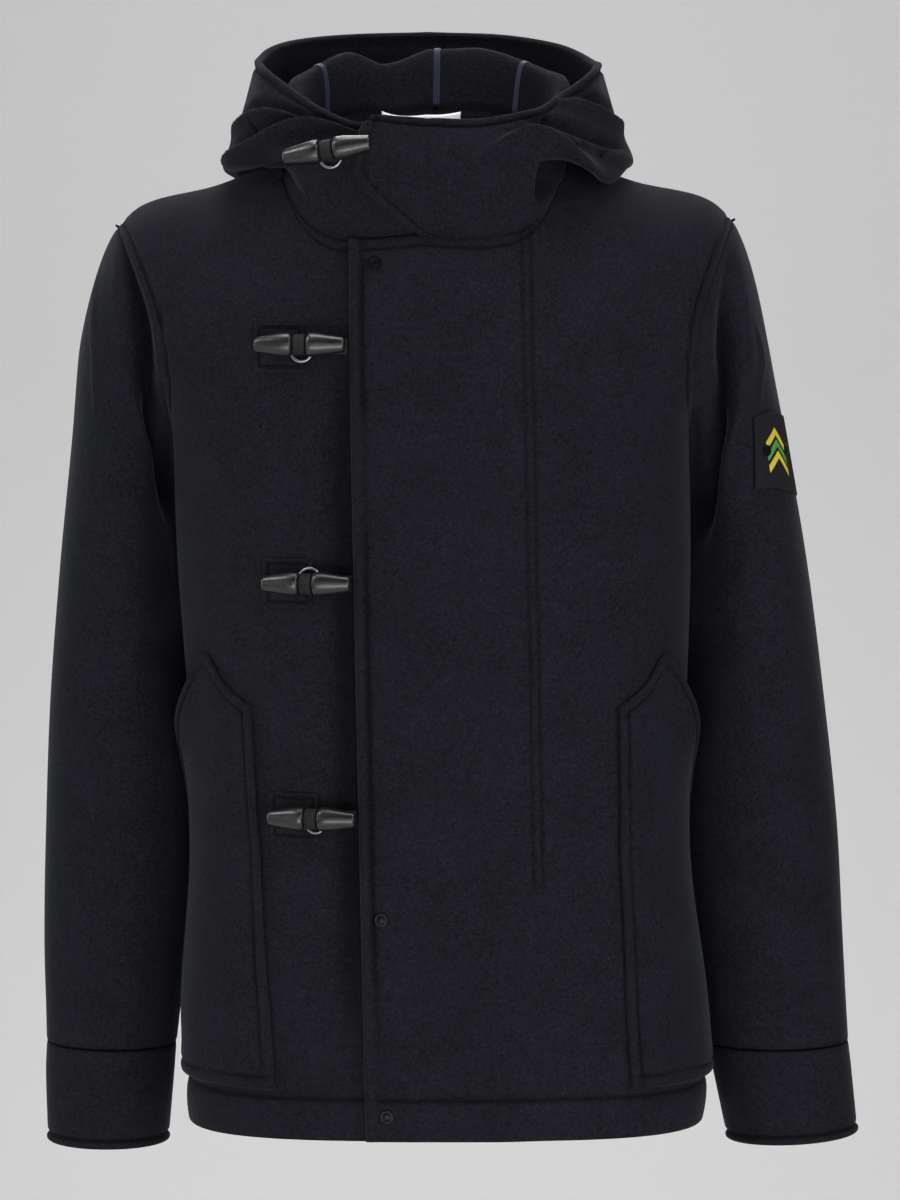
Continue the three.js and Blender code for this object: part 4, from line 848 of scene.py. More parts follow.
def arm_point(side, share, turn):
    """A sleeve's outer face, from the shoulder point over the front to the underarm and round the back."""
    arm = LEFT_ARM if side > 0 else RIGHT_ARM
    share, turn = np.broadcast_arrays(np.asarray(share, float), np.asarray(turn, float))
    value = {name: along(ARM_ALONG, arm[name], share) for name in arm}
    outward_share = (1 + np.cos(turn)) / 2
    x = side * mix(value["inner_x"], value["outer_x"], outward_share)
    z = mix(value["inner_z"], value["outer_z"], outward_share)
    y = along(ARM_ALONG, ARM_MIDDLE, share) - along(ARM_ALONG, ARM_DEPTH, share) * np.sin(turn)
    own = np.stack([x, y, z], -1)
    rise = (1 + np.cos(turn)) / 2
    away = np.where(np.sin(turn) >= 0, 1, -1) * armhole_turn(rise)
    held = body_point(away if side > 0 else math.pi - away, rise)
    held[..., 0] += side * ARMHOLE_GAP
    return mix(held, own, smooth(share / ARMHOLE_BLEND)[..., None])


def arm_relief(side, degrees, share):
    """The creases of a sleeve, which die away at its seam with the body."""
    around, down = np.broadcast_arrays(degrees / 360 * ARM_AROUND, share * ARM_LENGTH)
    relief = sum(crease(around, down, [(a / 360 * ARM_AROUND, b * ARM_LENGTH) for a, b in path], *sizes)
                 for path, *sizes in HEAD_CREASES[side] + ARM_CREASES)
    return relief * smooth(share / HEAD_HELD)


ARM_COLUMNS = 112


def arm_face(side, shares):
    """A sleeve's face with its creases, and how high the creases stand on it."""
    turns = np.linspace(0, 2 * math.pi, ARM_COLUMNS, endpoint=False)
    turns = -turns if side > 0 else turns
    face = arm_point(side, shares[:, None], turns[None, :])
    relief = arm_relief(side, np.degrees(turns)[None, :] % 360, shares[:, None])
    return face + outward(face, True) * relief[..., None], relief


sleeve_shares = CUFF_START * graded(ARM_LENGTH * CUFF_START)
cuff_shares = mix(CUFF_START + CUFF_ROOM, 1, graded(ARM_LENGTH * (1 - CUFF_START), 2.6))
CUFF_STITCH = 6.0
# The deep fold under each sleeve head is darkened with painted shade, in full where it is this deep.
HEAD_VALLEY_FULL_SHADE_DEPTH = 15
cuff_rows = []
for side, name in ((1, "left"), (-1, "right")):
    face, relief = arm_face(side, sleeve_shares)
    head, foot = reach_from(face, "bottom"), reach_from(face, "top")
    fine = pulled_in(head, 0.4, 3.2) + pulled_in(foot, 0.4, 2.4)
    sleeve, _ = cloth_piece("sleeve_" + name + "_tube", face, wool, closed=True, fine=fine,
                            sewn=("bottom", "top"), flat_and_shaded=np.clip(-relief / HEAD_VALLEY_FULL_SHADE_DEPTH, 0, 1) ** 2)
    dress(sleeve, "wool", "sleeve_" + name)
    face, _ = arm_face(side, cuff_shares)
    head, foot = reach_from(face, "bottom"), reach_from(face, "top")
    fine = pulled_in(head, 0.4, 2.4) + turned_edge(foot, CUFF_STITCH, 0.9, 1.6)
    cuff, cuff_face = cloth_piece("cuff_" + name + "_band", face, wool, closed=True, fine=fine,
                                  sewn=("bottom",))
    dress(cuff, "wool", "cuff_" + name)
    ring = trace(cuff_face, foot - CUFF_STITCH, "columns")
    cuff_rows.append(np.concatenate([ring, ring[:1]]))
stitched("cuff_stitching", cuff_rows)

# ---- The pockets ----
# Tall patch pockets of the same wool. The inner edge and foot are sewn to the front, the top
# rises to a point, and from the point the open mouth falls away round the side, standing out.
POCKET = {"bottom": -655, "inner_top": {1: 126, -1: 129}, "inner_bottom": {1: 127, -1: 118},
          "room": 1.3, "side_turn": 0.10}
POCKET_TOP = ([0, 0.22, 0.42, 0.56, 0.78, 1], [-386, -371, -350, -362, -402, -450])
POCKET_STITCH = 8.2
MOUTH = {"gape": 18.0, "from": 0.42, "level": -382, "height": 38}


def as_long_as_one(vector):
    return vector / np.linalg.norm(vector, axis=-1, keepdims=True)


def pocket_face(side):
    """A pocket's outer face. Its mouth gapes towards the side, most a little under the point."""
    across = graded(130, 2.6)
    up = graded(290, 2.8)
    top = along(*POCKET_TOP, across)[None, :]
    level = mix(POCKET["bottom"], top, up[:, None])
    height = level - ARMPIT_LEVEL
    centre = body_measure("centre", height)
    inner_x = centre + side * mix(POCKET["inner_bottom"][side], POCKET["inner_top"][side], up[:, None])
    side_turn = POCKET["side_turn"] if side > 0 else math.pi - POCKET["side_turn"]
    turn = mix(turn_at(inner_x, height), side_turn, across[None, :])
    face = body_point(turn, height)
    relief = creased(face[..., 0], face[..., 2], FRONT_CREASES) + hem_relief(face[..., 2])
    past_point = smooth((across[None, :] - MOUTH["from"]) / (1 - MOUTH["from"]))
    gape = MOUTH["gape"] * past_point * np.exp(-(((level - MOUTH["level"]) / MOUTH["height"]) ** 2))
    flat = as_long_as_one(np.stack([np.cos(turn), -np.abs(np.sin(turn)) * 0.8, np.zeros_like(turn)], -1))
    away = as_long_as_one(np.stack([face[..., 0] - centre, face[..., 1], np.zeros_like(turn)], -1))
    out = as_long_as_one(mix(away, flat, 0.55))
    face = face + out * (CLOTH + POCKET["room"] + relief)[..., None] + flat * gape[..., None]
    return face[:, ::-1] if side > 0 else face


pocket_rows = []
for side, name in ((1, "left"), (-1, "right")):
    face = pocket_face(side)
    inner_edge = "last" if side > 0 else "first"
    inner, top, foot = (reach_from(face, border) for border in (inner_edge, "top", "bottom"))
    fine = (turned_edge(inner, POCKET_STITCH, 1.0, 1.2) + turned_edge(top, POCKET_STITCH, 1.0, 1.2)
            + turned_edge(foot, POCKET_STITCH, 0.9, 1.1))
    pocket, pocket_outer = cloth_piece("pocket_" + name + "_patch", face, wool, fine=fine)
    dress(pocket, "wool", "pocket_" + name)
    pocket_rows += [
        trace(pocket_outer, inner - POCKET_STITCH, "rows", top > POCKET_STITCH),
        trace(pocket_outer, top - POCKET_STITCH, "columns", inner > POCKET_STITCH),
        trace(pocket_outer, foot - POCKET_STITCH, "columns", inner > POCKET_STITCH),
    ]
stitched("pocket_stitching", pocket_rows)

# ---- The hood ----
# Four pieces of the same wool, sewn to the neck edge and thrown back: the cloth stands up inside
# the neck, rolls over, hangs as a bag behind and comes up again to a turned and stitched rim.
HOOD_MIDDLE = (2, 5)
HOOD_ANGLES = [0, 20, 40, 52, 64, 77, 92, 115, 140, 160, 180]
HOOD_SHARES = [0, 0.12, 0.25, 0.38, 0.55, 0.68, 0.84, 1]
HOOD = {
    "wall": ([117, 119.5, 125, 120, 110, 99, 96, 92, 84, 77, 74],
             [-47, -45, -34, -14, 4, 24, 38, 46, 54, 55, 56]),
    "crest": ([118, 121, 126, 122.5, 112, 101, 98.5, 95, 94, 88, 86],
              [-36, -33, -22, -7, 11, 39, 64, 77, 86, 88, 90]),
    "fall": ([118.5, 122, 128.5, 127, 118, 110, 108, 107, 110, 105, 103],
             [-24, -20, -11, -5, 4, 21, 33, 38, 41, 38, 38]),
    "pit": ([118, 121.5, 132, 133, 131, 132, 135, 138, 147, 145, 143],
            [-11, -7, -1, -3, -4, 0, 2, 1, -34, -60, -68]),
    "belly": ([117, 119.5, 130, 137.5, 143, 147.5, 149.5, 160, 176, 179, 178],
              [0, 5, 11, 8, 6, 7, 7, 1, -22, -45, -54]),
    "outer": ([115, 116, 123, 128, 131, 133.5, 136.5, 149, 168, 173, 173],
              [10, 15, 23, 27, 30, 32, 34, 40, 42, 36, 33]),
    "rim": ([112, 111, 114, 112.5, 114, 120, 124, 135, 151, 161, 163],
            [21, 26, 37, 45, 54, 66, 75, 82, 99, 108.5, 111.5]),
}
ROLL_WAVES = ([-180, -158, -141, -122, -104, -90, 0, 93, 115, 134, 145, 156, 168, 180],
              [-2.5, -11.5, -2, -6, -8, -7, 0, -5, -7.5, -6, -2.5, 0.5, -1, -2.5])
ROLL_SHARE = {"wall": 0.4, "crest": 1.0, "fall": 0.4}
RIM_WAVES = ([-180, -160, -140, -120, -105, -90, -66, -52, -42, -33, -25,
              -18, -10, 1, 12, 20, 27, 35, 44, 55, 75, 180],
             [0, 0.5, 3.4, 6.5, 3, 2, 3, 1.4, -0.7, -2.9, -2.9,
              3.4, 4.6, 5, 2, 0, -1.4, -2.9, -2.9, 0, 0, 0])
SAG_WAVES = ([-180, -130, -105, -85, -60, -35, 0, 60, 90, 120, 180], [0, -2, -6, -6, -3, 0, 0, -3, -3, 0, 0])
SAG_SHARE = {"pit": 1.0, "belly": 1.0, "outer": 0.3}
HOOD_SEAMS = {"right": -121, "left": 130, "throat": 14, "back": 176}
SHOULDER_ROOM = 1.6
OVER_BODY = {"share": 0.1, "out": 215, "level": 45}
TAB = {
    "edge": ([0.02, 0.12, 0.25, 0.35, 0.48, 0.6, 0.8, 0.94, 1],
             [-1.5, -8, -14.5, -20.5, -24.5, -24.5, -24, -23, -19.5]),
    "lifts_from": 50, "lifts_to": 33, "lift": LAP + 0.5,
}
RIM_STITCH = 6.2
STAND_SHARE = 0.085


def hood_plan(angle, reach):
    turn = np.radians(angle)
    return HOOD_MIDDLE[0] + reach * np.sin(turn), HOOD_MIDDLE[1] - reach * np.cos(turn)


def body_top(x, y):
    """The body's own height under a point, looked at from above."""
    return mix(ARMPIT_LEVEL, ridge_top(x), rise_at(x, y, y < RIDGE_BACK))


def neck_seam(angle):
    """Where the hood is sewn to the neck."""
    low, high = np.full(np.shape(angle), 20.0), np.full(np.shape(angle), 200.0)
    for _ in range(30):
        middle = (low + high) / 2
        px, py = hood_plan(angle, middle)
        ahead = py < NECK["centre_y"]
        power = np.where(ahead, NECK["front_power"], NECK["back_power"])
        deep = np.where(ahead, NECK["front"], NECK["back"])
        inside = (np.abs((px - NECK["centre_x"]) / NECK["half"]) ** power
                  + np.abs((py - NECK["centre_y"]) / deep) ** power) < 1
        low, high = np.where(inside, middle, low), np.where(inside, high, middle)
    spot_x, spot_y = hood_plan(angle, low)
    return low, body_top(spot_x, spot_y) - SEAM_PRESS


def hood_point(angle, share):
    """The hood's outer face, at a signed angle round the neck and a share of the way to the rim."""
    angle, share = np.broadcast_arrays(np.asarray(angle, float), np.asarray(share, float))
    angle = (angle + 540) % 360 - 180
    ring, place = np.unique(np.round(angle, 5), return_inverse=True)
    place = place.reshape(angle.shape)
    seam_reach, seam_level = neck_seam(ring)
    wave, sag, rim_wave = along(*ROLL_WAVES, ring), along(*SAG_WAVES, ring), along(*RIM_WAVES, ring)
    reaches, levels = [seam_reach], [seam_level]
    for name, (reach, level) in HOOD.items():
        reaches.append(along(HOOD_ANGLES, reach, np.abs(ring)))
        shift = ROLL_SHARE.get(name, 0) * wave + SAG_SHARE.get(name, 0) * sag
        shift = shift + rim_wave if name == "rim" else shift
        levels.append(along(HOOD_ANGLES, level, np.abs(ring)) + shift)
    reach = along(HOOD_SHARES, np.stack(reaches, -1)[place], share)
    level = along(HOOD_SHARES, np.stack(levels, -1)[place], share)
    px, py = hood_plan(angle, reach)
    over_body = (share > OVER_BODY["share"]) & (np.abs(px) < OVER_BODY["out"])
    over_body &= (py > -BODY["front"][-1]) & (py < BODY["back"][-1])
    low_enough = over_body & (level < OVER_BODY["level"])
    floor = np.full(angle.shape, -1e3)
    floor[low_enough] = body_top(px[low_enough], py[low_enough]) + SHOULDER_ROOM
    return np.stack([px, py, np.maximum(level, floor)], -1)


HOOD_LENGTH = 262
HOOD_REACH = 132
# Folds of the hood's outer side: (angle, share of the way to the rim), then height and widths.
HOOD_FOLDS = [
    ([(-98, 0.84), (-82, 0.87), (-69, 0.90), (-56, 0.912), (-44, 0.915), (-34, 0.92)], -6.0, 3.5, 4.5),
    ([(-104, 0.79), (-85, 0.83), (-73, 0.86), (-63, 0.875), (-54, 0.885), (-46, 0.885)], 6.6, 4, 7),
    ([(-84, 0.75), (-64, 0.79), (-55, 0.825), (-49, 0.86), (-40, 0.905), (-31, 0.93)], -8.8, 5.5, 4.5),
    ([(-88, 0.65), (-72, 0.695), (-60, 0.73), (-52, 0.78), (-46, 0.82), (-37, 0.855), (-29, 0.865),
      (-22, 0.83)], 10.5, 4.5, 13),
    ([(-88, 0.55), (-70, 0.56), (-58, 0.56), (-47, 0.54), (-34, 0.52)], -10.5, 6, 12),
    ([(46, 0.98), (54, 0.955), (63, 0.90), (74, 0.85), (86, 0.82), (100, 0.80)], 7.4, 4, 7),
    ([(60, 0.965), (74, 0.915), (88, 0.88), (104, 0.86)], -4.9, 4, 5),
    ([(31, 0.87), (42, 0.87), (49, 0.825), (56, 0.785), (64, 0.76), (74, 0.75), (88, 0.75)], -8.5, 9, 6),
    ([(17, 0.56), (21, 0.63), (25, 0.70), (31, 0.76), (37, 0.755), (43, 0.70), (50, 0.645), (59, 0.61),
      (74, 0.60), (92, 0.62)], 12.0, 8, 16),
    ([(150, 0.60), (168, 0.64), (186, 0.61), (206, 0.63)], -7.9, 12, 16),
    ([(140, 0.76), (160, 0.72), (176, 0.76)], 5.2, 14, 14),
    ([(-140, 0.80), (-160, 0.75), (-176, 0.78)], -6.0, 12, 16),
    ([(118, 0.52), (140, 0.50), (165, 0.54)], -6.2, 9, 14),
    ([(-118, 0.56), (-140, 0.52), (-164, 0.55)], 5.2, 10, 12),
]
# Short darts let the cloth turn over the shoulders.
HOOD_DARTS = [((-73, 0.845), (-57, 0.735)), ((44, 0.935), (41, 0.79)), ((69, 0.795), (58, 0.645))]
DART_DIP = (-2.0, 1.7)
# Where the bag folds over the stand on the left it leaves a deep hollow with a steep front wall.
# Each wall is where it begins and over how far it goes from nothing to full.
HOLLOW = {"front": (35.5, 2.6), "behind": (52, 18), "below": (0.15, 0.14), "above": (0.54, 0.08), "depth": 17}


def on_hood(angle, share):
    """An angle and a share as lengths round the hood and up it."""
    return np.broadcast_arrays(np.radians(angle) * HOOD_REACH, share * HOOD_LENGTH)


def past(value, wall):
    """How far a value is past a wall of the hollow, from 0 to 1."""
    return smooth((value - wall[0]) / wall[1])


def hood_relief(angle, share):
    """The folds of the hood's outer side. Each is laid twice, a whole turn apart, for the seam behind."""
    over, up = on_hood(angle, share)
    relief = np.zeros(over.shape)
    for path, *sizes in HOOD_FOLDS:
        for lap_round in (0, -360):
            placed = [(math.radians(a + lap_round) * HOOD_REACH, s * HOOD_LENGTH) for a, s in path]
            relief = relief + crease(over, up, placed, *sizes)
    along_round = past(angle, HOLLOW["front"]) * (1 - past(angle, HOLLOW["behind"]))
    upward = past(share, HOLLOW["below"]) * (1 - past(share, HOLLOW["above"]))
    return relief - HOLLOW["depth"] * along_round * upward


def dart_grooves(angle, share):
    over, up = on_hood(angle, share)
    grooves = 0
    for dart in HOOD_DARTS:
        a, b = ((math.radians(turn) * HOOD_REACH, upward * HOOD_LENGTH) for turn, upward in dart)
        middle = ((a[0] + b[0]) / 2, (a[1] + b[1]) / 2)
        grooves = grooves + crease(over, up, [a, middle, b], *DART_DIP)
    return grooves


def hood_piece(angles, shares, lift=None, edge_angles=None):
    """A piece of the hood, its columns at falling angles. A spare column past each side seam keeps
    its face square to the next piece's."""
    spare = 0.5
    padded = np.concatenate([[angles[0] + spare], angles, [angles[-1] - spare]])
    grid = padded[None, :] + np.zeros((len(shares), 1))
    if edge_angles is not None:
        from_angle = TAB["lifts_to"]
        lean = np.clip((from_angle - grid) / (from_angle - angles[-1]), 0, None)
        grid = np.where(grid < from_angle, from_angle + lean * (edge_angles[:, None] - from_angle), grid)
    face = hood_point(grid, shares[:, None])
    relief = hood_relief(grid, shares[:, None])
    if lift is not None:
        relief = relief + lift(grid)
    face = face + outward(face) * relief[..., None]
    return face[:, 1:-1], outward(face)[:, 1:-1], grid[:, 1:-1]


def hood_columns(first, last, step=2.6):
    """Angles from one seam to the next, closer together at both."""
    return mix(first, last, graded(abs(math.radians(last - first)) * HOOD_REACH, step))


hood_wool = felt_material("felted_wool_hood", PILE_DARK, PILE_LIGHT, 0.6)
hood_shares = graded(HOOD_LENGTH, 2.8)
# At a seam the two pieces run a little past each other, so that no light shows between them.
SEAM_LAP = 0.2
TAB_ANGLE = -26
right_seam, left_seam, back_seam = HOOD_SEAMS["right"], HOOD_SEAMS["left"], HOOD_SEAMS["back"]


def tab_lift(angle):
    """The throat tab rises off the right side, which it lies on."""
    return TAB["lift"] * smooth((TAB["lifts_from"] - angle) / (TAB["lifts_from"] - TAB["lifts_to"]))


tab_edge = along(*TAB["edge"], hood_shares)
hood_parts = [
    ("hood_left_side", (left_seam + SEAM_LAP, TAB_ANGLE), tab_lift, tab_edge,
     ("hood_left", "throat_flap"), (0.36, 0.28), 0.0525),
    ("hood_right_side", (HOOD_SEAMS["throat"], right_seam - SEAM_LAP), None, None,
     ("hood_right",), (0.33, 0.28), 0.0476),
    ("hood_back_right_side", (right_seam + SEAM_LAP, back_seam - 360 - SEAM_LAP), None, None,
     ("hood_back_right",), (0.17, 0.36), 0.0585),
    ("hood_back_left_side", (back_seam + SEAM_LAP, left_seam - SEAM_LAP), None, None,
     ("hood_back_left",), (0.15, 0.36), 0.0448),
]
hood_rows = []
for name, seams, lift, edge, nodes, flat, area in hood_parts:
    angles = hood_columns(*seams)
    face, normals, grid = hood_piece(angles, hood_shares, lift, edge)
    rim, first, last = (reach_from(face, border) for border in ("top", "first", "last"))
    neck = reach_from(face, "bottom")
    fine = (turned_edge(rim, RIM_STITCH, 1.0, 1.7) + pulled_in(neck, 0.6, 3.2)
            + dart_grooves(grid, hood_shares[:, None]))
    stand = np.broadcast_to(hood_shares[:, None], rim.shape) - STAND_SHARE
    inner_fine = (turned_edge(rim, RIM_STITCH, 0.9, 0.9) + 0.9 * smooth(stand * HOOD_LENGTH / 3)
                  + pulled_in(stand * HOOD_LENGTH, 0.6, 1.4))
    if edge is not None:
        fine = fine + turned_edge(last, TOP_STITCH, 0.8, 0.9) + pulled_in(first, 0.5, 2.4)
    else:
        fine = fine + pulled_in(last, 0.5, 2.4) + pulled_in(first, 0.5, 2.4)
    piece, outer = cloth_piece(name, face, hood_wool, fine=fine, inner_fine=inner_fine, normals=normals,
                               sewn=("bottom", "first") if edge is not None else ("bottom", "first", "last"))
    dress(piece, "wool", *nodes)
    hood_rows.append(trace(outer, rim - RIM_STITCH, "columns"))
    if edge is not None:
        hood_rows.append(trace(outer, last - TOP_STITCH, "rows", rim > RIM_STITCH))
stitched("hood_stitching", hood_rows)

# ---- Inside the neck ----
# The hood's seams are bound inside with narrow navy tape, and a plain white woven label hangs
# at the centre back, sewn down along its top.
BINDING_TONES = ((0.014, 0.015, 0.034, 1), (0.024, 0.026, 0.056, 1))
binding, _, binding_surface, _ = ribbed_material("binding_tape", "UV", 160, 0.4, BINDING_TONES, 0.55, 0.12)
binding_surface.inputs["Sheen Weight"].default_value = 0.05

BINDING_WIDTH = 5.2
BINDING_THICKNESS = 1.0
BINDING_LIFT = 0.9 + 0.6
BINDINGS = (
    (1, HOOD_SEAMS["right"], 0.256),
    (2, HOOD_SEAMS["back"] - 0.5, 0.363),
    (3, HOOD_SEAMS["left"], 0.272),
)


def inside_hood(angle, share, lift):
    """A place on the hood's inner face, moved out from it by a lift, as a grid."""
    reach = 0.6
    angle, share = np.broadcast_arrays(np.asarray(angle, float), np.asarray(share, float))
    face = hood_point(angle, share)
    up = hood_point(angle, np.minimum(share + 0.01, 1)) - hood_point(angle, np.maximum(share - 0.01, 0))
    over = hood_point(angle - reach, share) - hood_point(angle + reach, share)
    square = np.cross(up, over)
    square /= np.linalg.norm(square, axis=-1, keepdims=True)
    return face + square * (hood_relief(angle, share) - CLOTH - lift)[..., None]


for number, angle, tape_length in BINDINGS:
    shares = np.linspace(STAND_SHARE + 0.004, 0.80, 80)
    ring_reach = np.hypot(*(hood_point(angle, shares)[:, :2] - np.array(HOOD_MIDDLE)).T)
    half = np.degrees(BINDING_WIDTH / 2 / ring_reach)
    spreads = np.array([1, 0.94, 0.8, 0.4, 0, -0.4, -0.8, -0.94, -1])
    face = inside_hood(angle - half[:, None] * spreads[None, :], shares[:, None], BINDING_LIFT)
    tape, _ = cloth_piece("binding_" + str(number), face, binding, thickness=BINDING_THICKNESS)
    dress(tape, "binding", "hood_binding_" + str(number))

LABEL_TONES = ((0.74, 0.74, 0.73, 1), (0.86, 0.86, 0.85, 1))
label = ribbed_material("woven_label", "UV", 420, 0.0, LABEL_TONES, 0.5, 0.5)[0]
# The label sags in its middle and hangs lower at one end.
LABEL_SAG = {"middle": -0.009, "ends": 0.015, "tilt": 0.006}
LABEL_LIFT = 1.2
label_angles = np.linspace(160.5, 207.5, 60)
label_shares = np.linspace(0.027, 0.078, 10)
label_turn = (label_angles - label_angles.mean()) / (label_angles[-1] - label_angles.mean())
label_slack = LABEL_SAG["middle"] + LABEL_SAG["ends"] * label_turn**2 + LABEL_SAG["tilt"] * label_turn
label_rows = label_shares[:, None] + label_slack[None, ::-1]
label_face = inside_hood(label_angles[None, ::-1], label_rows, LABEL_LIFT)
neck_label, _ = cloth_piece("neck_label_patch", label_face, label, thickness=0.6)
dress(neck_label, "label", "neck_label")

# ---- The toggles ----
# Turned horn toggles, thick in the middle and narrower at both ends, each held at its waist by
# a webbing band. A tape runs from the band to the front's edge, a wire ring joins band and
# coat, and a square patch of wool backs the lower three.
horn, horn_tree, horn_surface = new_material("dark_horn")
horn_place = horn_tree.nodes.new("ShaderNodeTexCoord").outputs["Object"]
horn_stretch = horn_tree.nodes.new("ShaderNodeMapping")
horn_stretch.inputs["Scale"].default_value = (60, 420, 420)
horn_tree.links.new(horn_place, horn_stretch.inputs["Vector"])
streaks = noise(horn_tree, horn_stretch.outputs["Vector"], 1.0, 5, 0.6, 1.2)
horn_colour = blend_colours(horn_tree, spread_out(horn_tree, streaks, 0.35, 0.7),
                            (0.0030, 0.0030, 0.0032, 1), (0.0090, 0.0086, 0.0084, 1))
horn_tree.links.new(horn_colour, horn_surface.inputs["Base Color"])
horn_tree.links.new(spread_out(horn_tree, streaks, 0.3, 0.7, 0.26, 0.38), horn_surface.inputs["Roughness"])
horn_surface.inputs["Specular IOR Level"].default_value = 0.55

def ribs_stand_up(tree, surface, ribs, strength):
    """Woven ribs as fine relief, three tenths of a millimetre at full strength."""
    bump = tree.nodes.new("ShaderNodeBump")
    bump.inputs["Strength"].default_value = strength
    bump.inputs["Distance"].default_value = 0.3 * MM
    tree.links.new(ribs, bump.inputs["Height"])
    tree.links.new(bump.outputs["Normal"], surface.inputs["Normal"])


WEBBING_TONES = ((0.004, 0.004, 0.0045, 1), (0.011, 0.011, 0.0125, 1))
webbing, webbing_tree, webbing_surface, webbing_ribs = ribbed_material(
    "black_webbing", "UV", 260, 0.8, WEBBING_TONES, 0.7, 0.2)
ribs_stand_up(webbing_tree, webbing_surface, webbing_ribs, 0.6)

ring_metal, ring_tree, ring_surface = new_material("dull_wire")
ring_noise = noise(ring_tree, ring_tree.nodes.new("ShaderNodeTexCoord").outputs["Object"], 700, 4, 0.6)
ring_colour = blend_colours(ring_tree, ring_noise, (0.20, 0.20, 0.21, 1), (0.42, 0.42, 0.44, 1))
ring_tree.links.new(ring_colour, ring_surface.inputs["Base Color"])
ring_surface.inputs["Metallic"].default_value = 1.0
ring_surface.inputs["Roughness"].default_value = 0.35

# The profile is half a toggle, (distance from its waist, radius). flat is how far it is flattened.
TOGGLE_PROFILE = [(0, 5.2), (4.4, 5.2), (4.9, 5.6), (5.5, 7.6), (6.4, 8.4), (8.5, 8.6), (13, 8.3), (20, 7.2),
                  (27, 6.0), (30.2, 5.5), (31.2, 5.1), (31.7, 4.2), (31.8, 2.4)]
TOGGLE = {"flat": 0.86, "lift": 13.4, "sides": 40}
BAND = {"inner": 5.6, "outer": 7.3, "half": 4.2, "round": 0.044}
RING = {"radius": 7.4, "wire": 1.0, "lift": 4.6, "drop": 3.2, "steps": 36, "sides": 10}
TAPE = {"lift": 2.4, "thickness": 1.0, "half": 5.5, "behind": 6, "short_of_fly": 1.2}
PATCH = {"lift": 0.7, "thickness": 1.8, "width": 33, "past": 1, "half": 17, "stitch": 3.6}


def lathe(profile, sides, closed_ends=True):
    """A turned shape about its own Y, from (distance along, radius)."""
    angles = np.linspace(0, 2 * math.pi, sides, endpoint=False)
    points = [(r * math.cos(a), at, r * math.sin(a)) for at, r in profile for a in angles]
    faces = []
    for i in range(len(profile) - 1):
        for j in range(sides):
            k = (j + 1) % sides
            faces.append((i * sides + j, (i + 1) * sides + j, (i + 1) * sides + k, i * sides + k))
    if closed_ends:
        points += [(0, profile[0][0], 0), (0, profile[-1][0], 0)]
        first, last = len(points) - 2, len(points) - 1
        top = (len(profile) - 1) * sides
        faces += [(first, j, (j + 1) % sides) for j in range(sides)]
        faces += [(last, top + (j + 1) % sides, top + j) for j in range(sides)]
    return np.array(points, float), faces


def standing(points, place, own_y, own_z):
    """Points turned so that their own Y and Z run along two directions, and moved to a place."""
    y = own_y / np.linalg.norm(own_y)
    z = own_z - y * (own_z @ y)
    z /= np.linalg.norm(z)
    return place + points @ np.stack([np.cross(y, z), y, z])


def front_places(x, z, lift):
    """Places on the body's front, with its creases, moved out."""
    def spot(at_x, at_z):
        height = np.where(at_z <= ARMPIT_LEVEL, at_z - ARMPIT_LEVEL,
                          (at_z - ARMPIT_LEVEL) / (ridge_top(at_x) - ARMPIT_LEVEL))
        return body_point(turn_at(at_x, height), height)
    x, z = np.broadcast_arrays(np.asarray(x, float), np.asarray(z, float))
    over, up = spot(x + 2, z) - spot(x - 2, z), spot(x, z + 2) - spot(x, z - 2)
    square = np.cross(over, up)
    square /= np.linalg.norm(square, axis=-1, keepdims=True)
    relief = creased(x, z, FRONT_CREASES) + hem_relief(z)
    over /= np.linalg.norm(over, axis=-1, keepdims=True)
    return spot(x, z) + square * (relief + lift)[..., None], square, over


def front_patch(name, material, left, right, bottom, top, lift, thickness, fine=None):
    """A rectangular piece lying on the front."""
    across = mix(right, left, graded(abs(right - left), 1.6))
    up = mix(bottom, top, graded(top - bottom, 1.6))
    face = front_places(across[None, :], up[:, None], lift + thickness)[0]
    relief = 0.0 if fine is None else fine(face)
    return cloth_piece(name, face, material, thickness=thickness, fine=relief)


